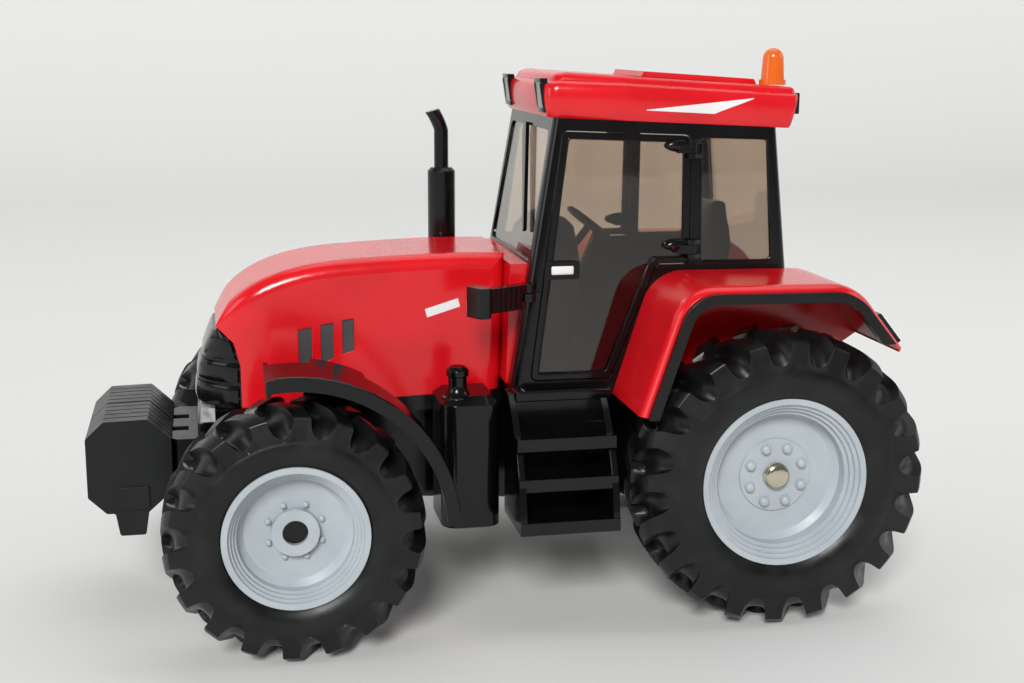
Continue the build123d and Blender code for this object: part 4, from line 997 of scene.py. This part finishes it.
def between(lower, upper, steps):
    """Rows of points between two polylines of (x, z) with equally many points."""
    return [along(a, b, steps) for a, b in zip(lower, upper)]


roof_upper = along((-54.0, 185.3), (-95.2, 189.3), 14)
roof_lower = along((-54.0, 185.0), (-80.0, 183.6), 8) + along((-82.5, 184.6), (-95.2, 189.0), 5)
bonnet_upper = along((26.0, 111.6), (13.5, 115.4), 4)
bonnet_lower = along((25.2, 108.4), (12.7, 112.2), 4)
for side, side_name in SIDES:
    flash("roof_flash_" + side_name, between(roof_lower, roof_upper, 3), "roof_moulding", side)
    flash("bonnet_flash_" + side_name, between(bonnet_lower, bonnet_upper, 3), "bonnet", side)
print("flashes printed")

# %% [markdown]
# ## Grille panels
# The nose is closed by three black panels, one above the other, each a soft cushion between thin
# grooves. They wrap round the nose from side to side, so each one is sampled in rows: rays cast
# towards an upright axis inside the nose find the CAD grille, and the cushion stands on it. The
# found radii are averaged, so a cushion passes over the CAD's bars and corners as one soft form.


# %% Cushions round the nose
nose_axis = Vector((90.0, 0.0, 0.0))
ray_start, ray_length = 60.0, 59.0
widest_half_degrees = 168
bonnet_set_back = 0.8
average_turns, average_rises = (-8.0, -4.0, 0.0, 4.0, 8.0), (-2.0, 2.0)
panel_heights = {"lower": (76.8, 84.1), "middle": (85.5, 92.9), "upper": (94.2, 104.6)}


def nose_hit(node, degrees, z):
    """Distance from the nose's axis to a CAD node in a direction, or zero where it is missed."""
    way = Vector((math.cos(math.radians(degrees)), math.sin(math.radians(degrees)), 0.0))
    start = (nose_axis + way * ray_start + Vector((0.0, 0.0, z))) * MM
    hit, place, normal, index = nodes[node].ray_cast(start, -way, distance=ray_length * MM)
    return math.hypot(place.x / MM - nose_axis.x, place.y / MM) if hit else 0.0


def grille_reach(z):
    """Widest direction in which the grille, not the bonnet, is the outer surface."""
    for half_degrees in range(widest_half_degrees, 4, -1):
        if nose_hit("grille", half_degrees / 2, z) > nose_hit("bonnet", half_degrees / 2, z):
            return half_degrees / 2
    return 2.0


groove_heights = (77.2, 82.0, 87.6, 93.2, 98.8, 104.2)


def groove_radius(degrees, z):
    """Radius of the shell behind the grille's bars, between heights that miss the bars."""
    radii = []
    for height in groove_heights:
        bonnet_radius = nose_hit("bonnet", degrees, height) - bonnet_set_back
        radii.append(max(nose_hit("grille", degrees, height), bonnet_radius))
    for i in range(len(groove_heights) - 1):
        if z <= groove_heights[i + 1] or i == len(groove_heights) - 2:
            share = (z - groove_heights[i]) / (groove_heights[i + 1] - groove_heights[i])
            return radii[i] + (radii[i + 1] - radii[i]) * share


def shell_radius(degrees, z):
    """The same radius averaged round a point, so the cushions turn the nose's corners softly."""
    near = [groove_radius(degrees + turn, z + rise) for turn in average_turns for rise in average_rises]
    return sum(near) / len(near)


def grille_panel(name, z_low, z_high, columns=48, rows=8):
    """One cushion between two heights, closed at its back and ends."""
    outer = []
    for i in range(rows + 1):
        share = i / rows
        z = z_low + (z_high - z_low) * share
        reach = grille_reach(z) - 2.0
        crown = 0.95 + 0.40 * (1 - abs(2 * share - 1) ** 4)
        row = []
        for j in range(columns + 1):
            degrees = -reach + 2 * reach * j / columns
            radius = shell_radius(degrees, z) + crown - 0.35 * abs(2 * j / columns - 1) ** 12
            turn = math.radians(degrees)
            row.append((nose_axis.x + radius * math.cos(turn), radius * math.sin(turn), z))
        outer.append(row)
    back_rows = []
    for row in (outer[0], outer[-1]):
        back_rows.append([(x - 0.08 * (x - nose_axis.x), y * 0.93, z) for x, y, z in row])
    points, faces = skin([back_rows[0]] + outer + [back_rows[1]], closed_ring=False, closed_rows=True)
    faces.append(tuple(i * (columns + 1) for i in range(rows + 3)))
    faces.append(tuple(i * (columns + 1) + columns for i in range(rows + 3)))
    return finish_piece(name, as_mesh(name, points, faces), black_abs, "chassis", 35.0)


for label, (z_low, z_high) in panel_heights.items():
    grille_panel("grille_panel_" + label, z_low, z_high)
print("grille reaches", [grille_reach(z) for z in (77.0, 90.0, 104.0)], "degrees to each side")

# %% [markdown]
# ## Cab inside, sills and fenders
# Inside the cab a dark sheet stands just behind the cab's front. It is painted shade: it hides the
# back of the red cowl, which lies in shade there. A hooded pod rises from the dashboard in front of
# the steering wheel. A black sill runs under each door, a rounded bead and a turned-down end finish
# each front fender, a bar runs under the headlamps, and a domed cap closes the nickel axle on each
# side. The rest are plain mouldings, and each piece here is a block, a dome, an outline with
# thickness, or a bead along a path.


# %% Painted shade sheet at the bulkhead, and axle caps
def bulkhead_x(z):
    """Front plane of the cab, which leans back."""
    return -3.9 - 0.165 * (z - 84.0)


# Painted shade: this dark sheet just behind the cab's front stands for the shade inside the cab and hides the
# back of the red cowl.
shade_sheet_corners = ((-35.8, 84.2), (35.8, 84.2), (35.8, 128.8), (-35.8, 128.8))
shade_sheet_rows = [[(bulkhead_x(z) - offset, y, z) for y, z in shade_sheet_corners] for offset in (0.1, 1.1)]
shade_sheet_points, shade_sheet_faces = skin(shade_sheet_rows)
shade_sheet_faces += [(0, 1, 2, 3), (4, 5, 6, 7)]
shade_sheet_mesh = as_mesh("bulkhead_liner", shade_sheet_points, shade_sheet_faces)
finish_piece("bulkhead_liner", shade_sheet_mesh, dark_abs, "chassis")
cap_radius, cap_height, cap_foot_y = 4.5, 1.5, 76.6
axle_middle = (low("rear_axle") + high("rear_axle")) / 2
for side, side_name in SIDES:
    cap_foot = (axle_middle.x, side * cap_foot_y, axle_middle.z)
    cap_mesh = as_mesh("axle_cap_" + side_name, *dome(cap_radius, cap_height, cap_foot, side))
    finish_piece("axle_cap_" + side_name, cap_mesh, nickel_plate, "chassis", 30.0)
print("liner and caps in place")


# %% Dashboard pod, sills, chin and fender beads
def moulding(name, outline, inner_y, outer_y, material, body, rounding=0.8):
    """An outline of (x, z) given thickness between two distances from the middle plane."""
    work = bmesh.new()
    vertices = [work.verts.new(Vector((x, inner_y, z)) * MM) for x, z in outline]
    bottom = work.faces.new(vertices)
    grown = bmesh.ops.extrude_face_region(work, geom=[bottom])
    moved = [item for item in grown["geom"] if isinstance(item, bmesh.types.BMVert)]
    bmesh.ops.translate(work, verts=moved, vec=Vector((0.0, outer_y - inner_y, 0.0)) * MM)
    bmesh.ops.recalc_face_normals(work, faces=work.faces)
    bmesh.ops.bevel(work, geom=work.edges[:], offset=rounding * MM, segments=3, profile=0.5, affect="EDGES")
    mesh = bpy.data.meshes.new(name)
    work.to_mesh(mesh)
    work.free()
    return finish_piece(name, mesh, material, body, 60.0)


pod_outline = [
    (-14.0, 126.0),
    (-18.0, 137.5),
    (-23.5, 142.6),
    (-29.5, 143.8),
    (-33.4, 140.2),
    (-36.0, 127.0),
    (-36.4, 102.0),
    (-30.0, 84.3),
    (-14.0, 84.3),
]
moulding("dashboard_pod", pod_outline, -17.0, 17.0, dark_abs, "chassis", 1.2)
block("lamp_chin", (103.6, -20.9, 65.2), (110.5, 20.9, 70.4), black_abs, "chassis")
fender_hub = Vector((78.6, 0.0, 45.0))
fender_bead_radius, fender_bead_y = 55.2, 86.2
for side, side_name in SIDES:
    knuckle = "knuckle_" + side_name
    y_low, y_high = both((44.4, 53.0), side)
    block("door_sill_" + side_name, (-39.4, y_low, 80.6), (-3.4, y_high, 84.6), black_abs, "chassis", 0.5)
    edge_path = []
    for degrees in range(84, 179, 5):
        turn = math.radians(degrees)
        x = fender_hub.x + fender_bead_radius * math.cos(turn)
        edge_path.append((x, side * fender_bead_y, fender_hub.z + fender_bead_radius * math.sin(turn)))
    bead("front_fender_bead_" + side_name, edge_path, 1.2, black_abs, knuckle, closed=False)
    y_low, y_high = both((57.0, 86.8), side)
    block("front_fender_end_" + side_name, (85.6, y_low, 94.6), (87.3, y_high, 100.3), black_abs, knuckle)
print("pod, chin, sills and fender beads in place")

# %% [markdown]
# ## Floor and light
# The toy stands on a plain pale sweep. A sweep is a floor that curves up into a wall, so there is
# no line behind the toy. One broad soft sun from the upper front lights floor and wall alike,
# because a sun does not fade with distance. Three weak softboxes add the long highlights that
# polished plastic shows, and a dim room all round keeps the black pieces black.


# %% Sweep
def make_sweep(half_width, front, rear, rise, radius, steps=16):
    """Floor from y = front to y = rear, curving up into a wall, as one smooth mesh."""
    profile = [(front, 0.0)]
    for i in range(steps + 1):
        angle = math.radians(90) * i / steps
        profile.append((rear + radius - radius * math.sin(angle), radius - radius * math.cos(angle)))
    profile.append((rear, rise))
    mesh = bpy.data.meshes.new("sweep")
    points = [(x, y, z) for y, z in profile for x in (-half_width, half_width)]
    faces = [(2 * i, 2 * i + 1, 2 * i + 3, 2 * i + 2) for i in range(len(profile) - 1)]
    mesh.from_pydata(points, [], faces)
    mesh.shade_smooth()
    sweep = bpy.data.objects.new("sweep", mesh)
    bpy.context.scene.collection.objects.link(sweep)
    return sweep


sweep = make_sweep(half_width=12.0, front=12.0, rear=-3.0, rise=5.0, radius=1.6)
paper, paper_tree = start_material("pale_paper_sweep")
paper_surface = add_node(
    paper_tree, "ShaderNodeBsdfPrincipled", {"Base Color": linear("E2E2E0"), "Roughness": 0.85}
)
add_node(paper_tree, "ShaderNodeOutputMaterial", links={"Surface": paper_surface.outputs["BSDF"]})
dress(sweep, paper)
print("sweep faces:", len(sweep.data.polygons))


# %% Sun, softboxes and room
toy_middle = Vector((0.0, 0.0, 0.09))


def add_lamp(name, kind, place, strength, **settings):
    """A lamp at a place, in metres, facing the middle of the toy."""
    lamp = bpy.data.lights.new(name, kind)
    lamp.energy = strength
    for key, value in settings.items():
        setattr(lamp, key, value)
    lamp_object = bpy.data.objects.new(name, lamp)
    bpy.context.scene.collection.objects.link(lamp_object)
    lamp_object.location = place
    aim = toy_middle - Vector(place)
    lamp_object.rotation_euler = aim.to_track_quat("-Z", "Y").to_euler()


add_lamp("soft_sun", "SUN", (0.40, 1.10, 0.85), 2.6, angle=math.radians(20))
add_lamp("top_softbox", "AREA", (-0.2, -0.3, 1.3), 4.0, shape="RECTANGLE", size=1.2, size_y=0.9)
add_lamp("front_softbox", "AREA", (1.4, 0.3, 0.6), 3.0, shape="RECTANGLE", size=0.6, size_y=0.8)
add_lamp("rear_softbox", "AREA", (-1.3, 0.2, 0.7), 2.5, shape="RECTANGLE", size=0.6, size_y=0.8)

world = bpy.data.worlds.new("pale_room")
bpy.context.scene.world = world
world.use_nodes = True
world.node_tree.nodes.clear()
room = add_node(world.node_tree, "ShaderNodeBackground", {"Color": linear("E8EAEC"), "Strength": 0.20})
add_node(world.node_tree, "ShaderNodeOutputWorld", links={"Surface": room.outputs["Background"]})
bpy.context.scene.view_settings.view_transform = "Standard"
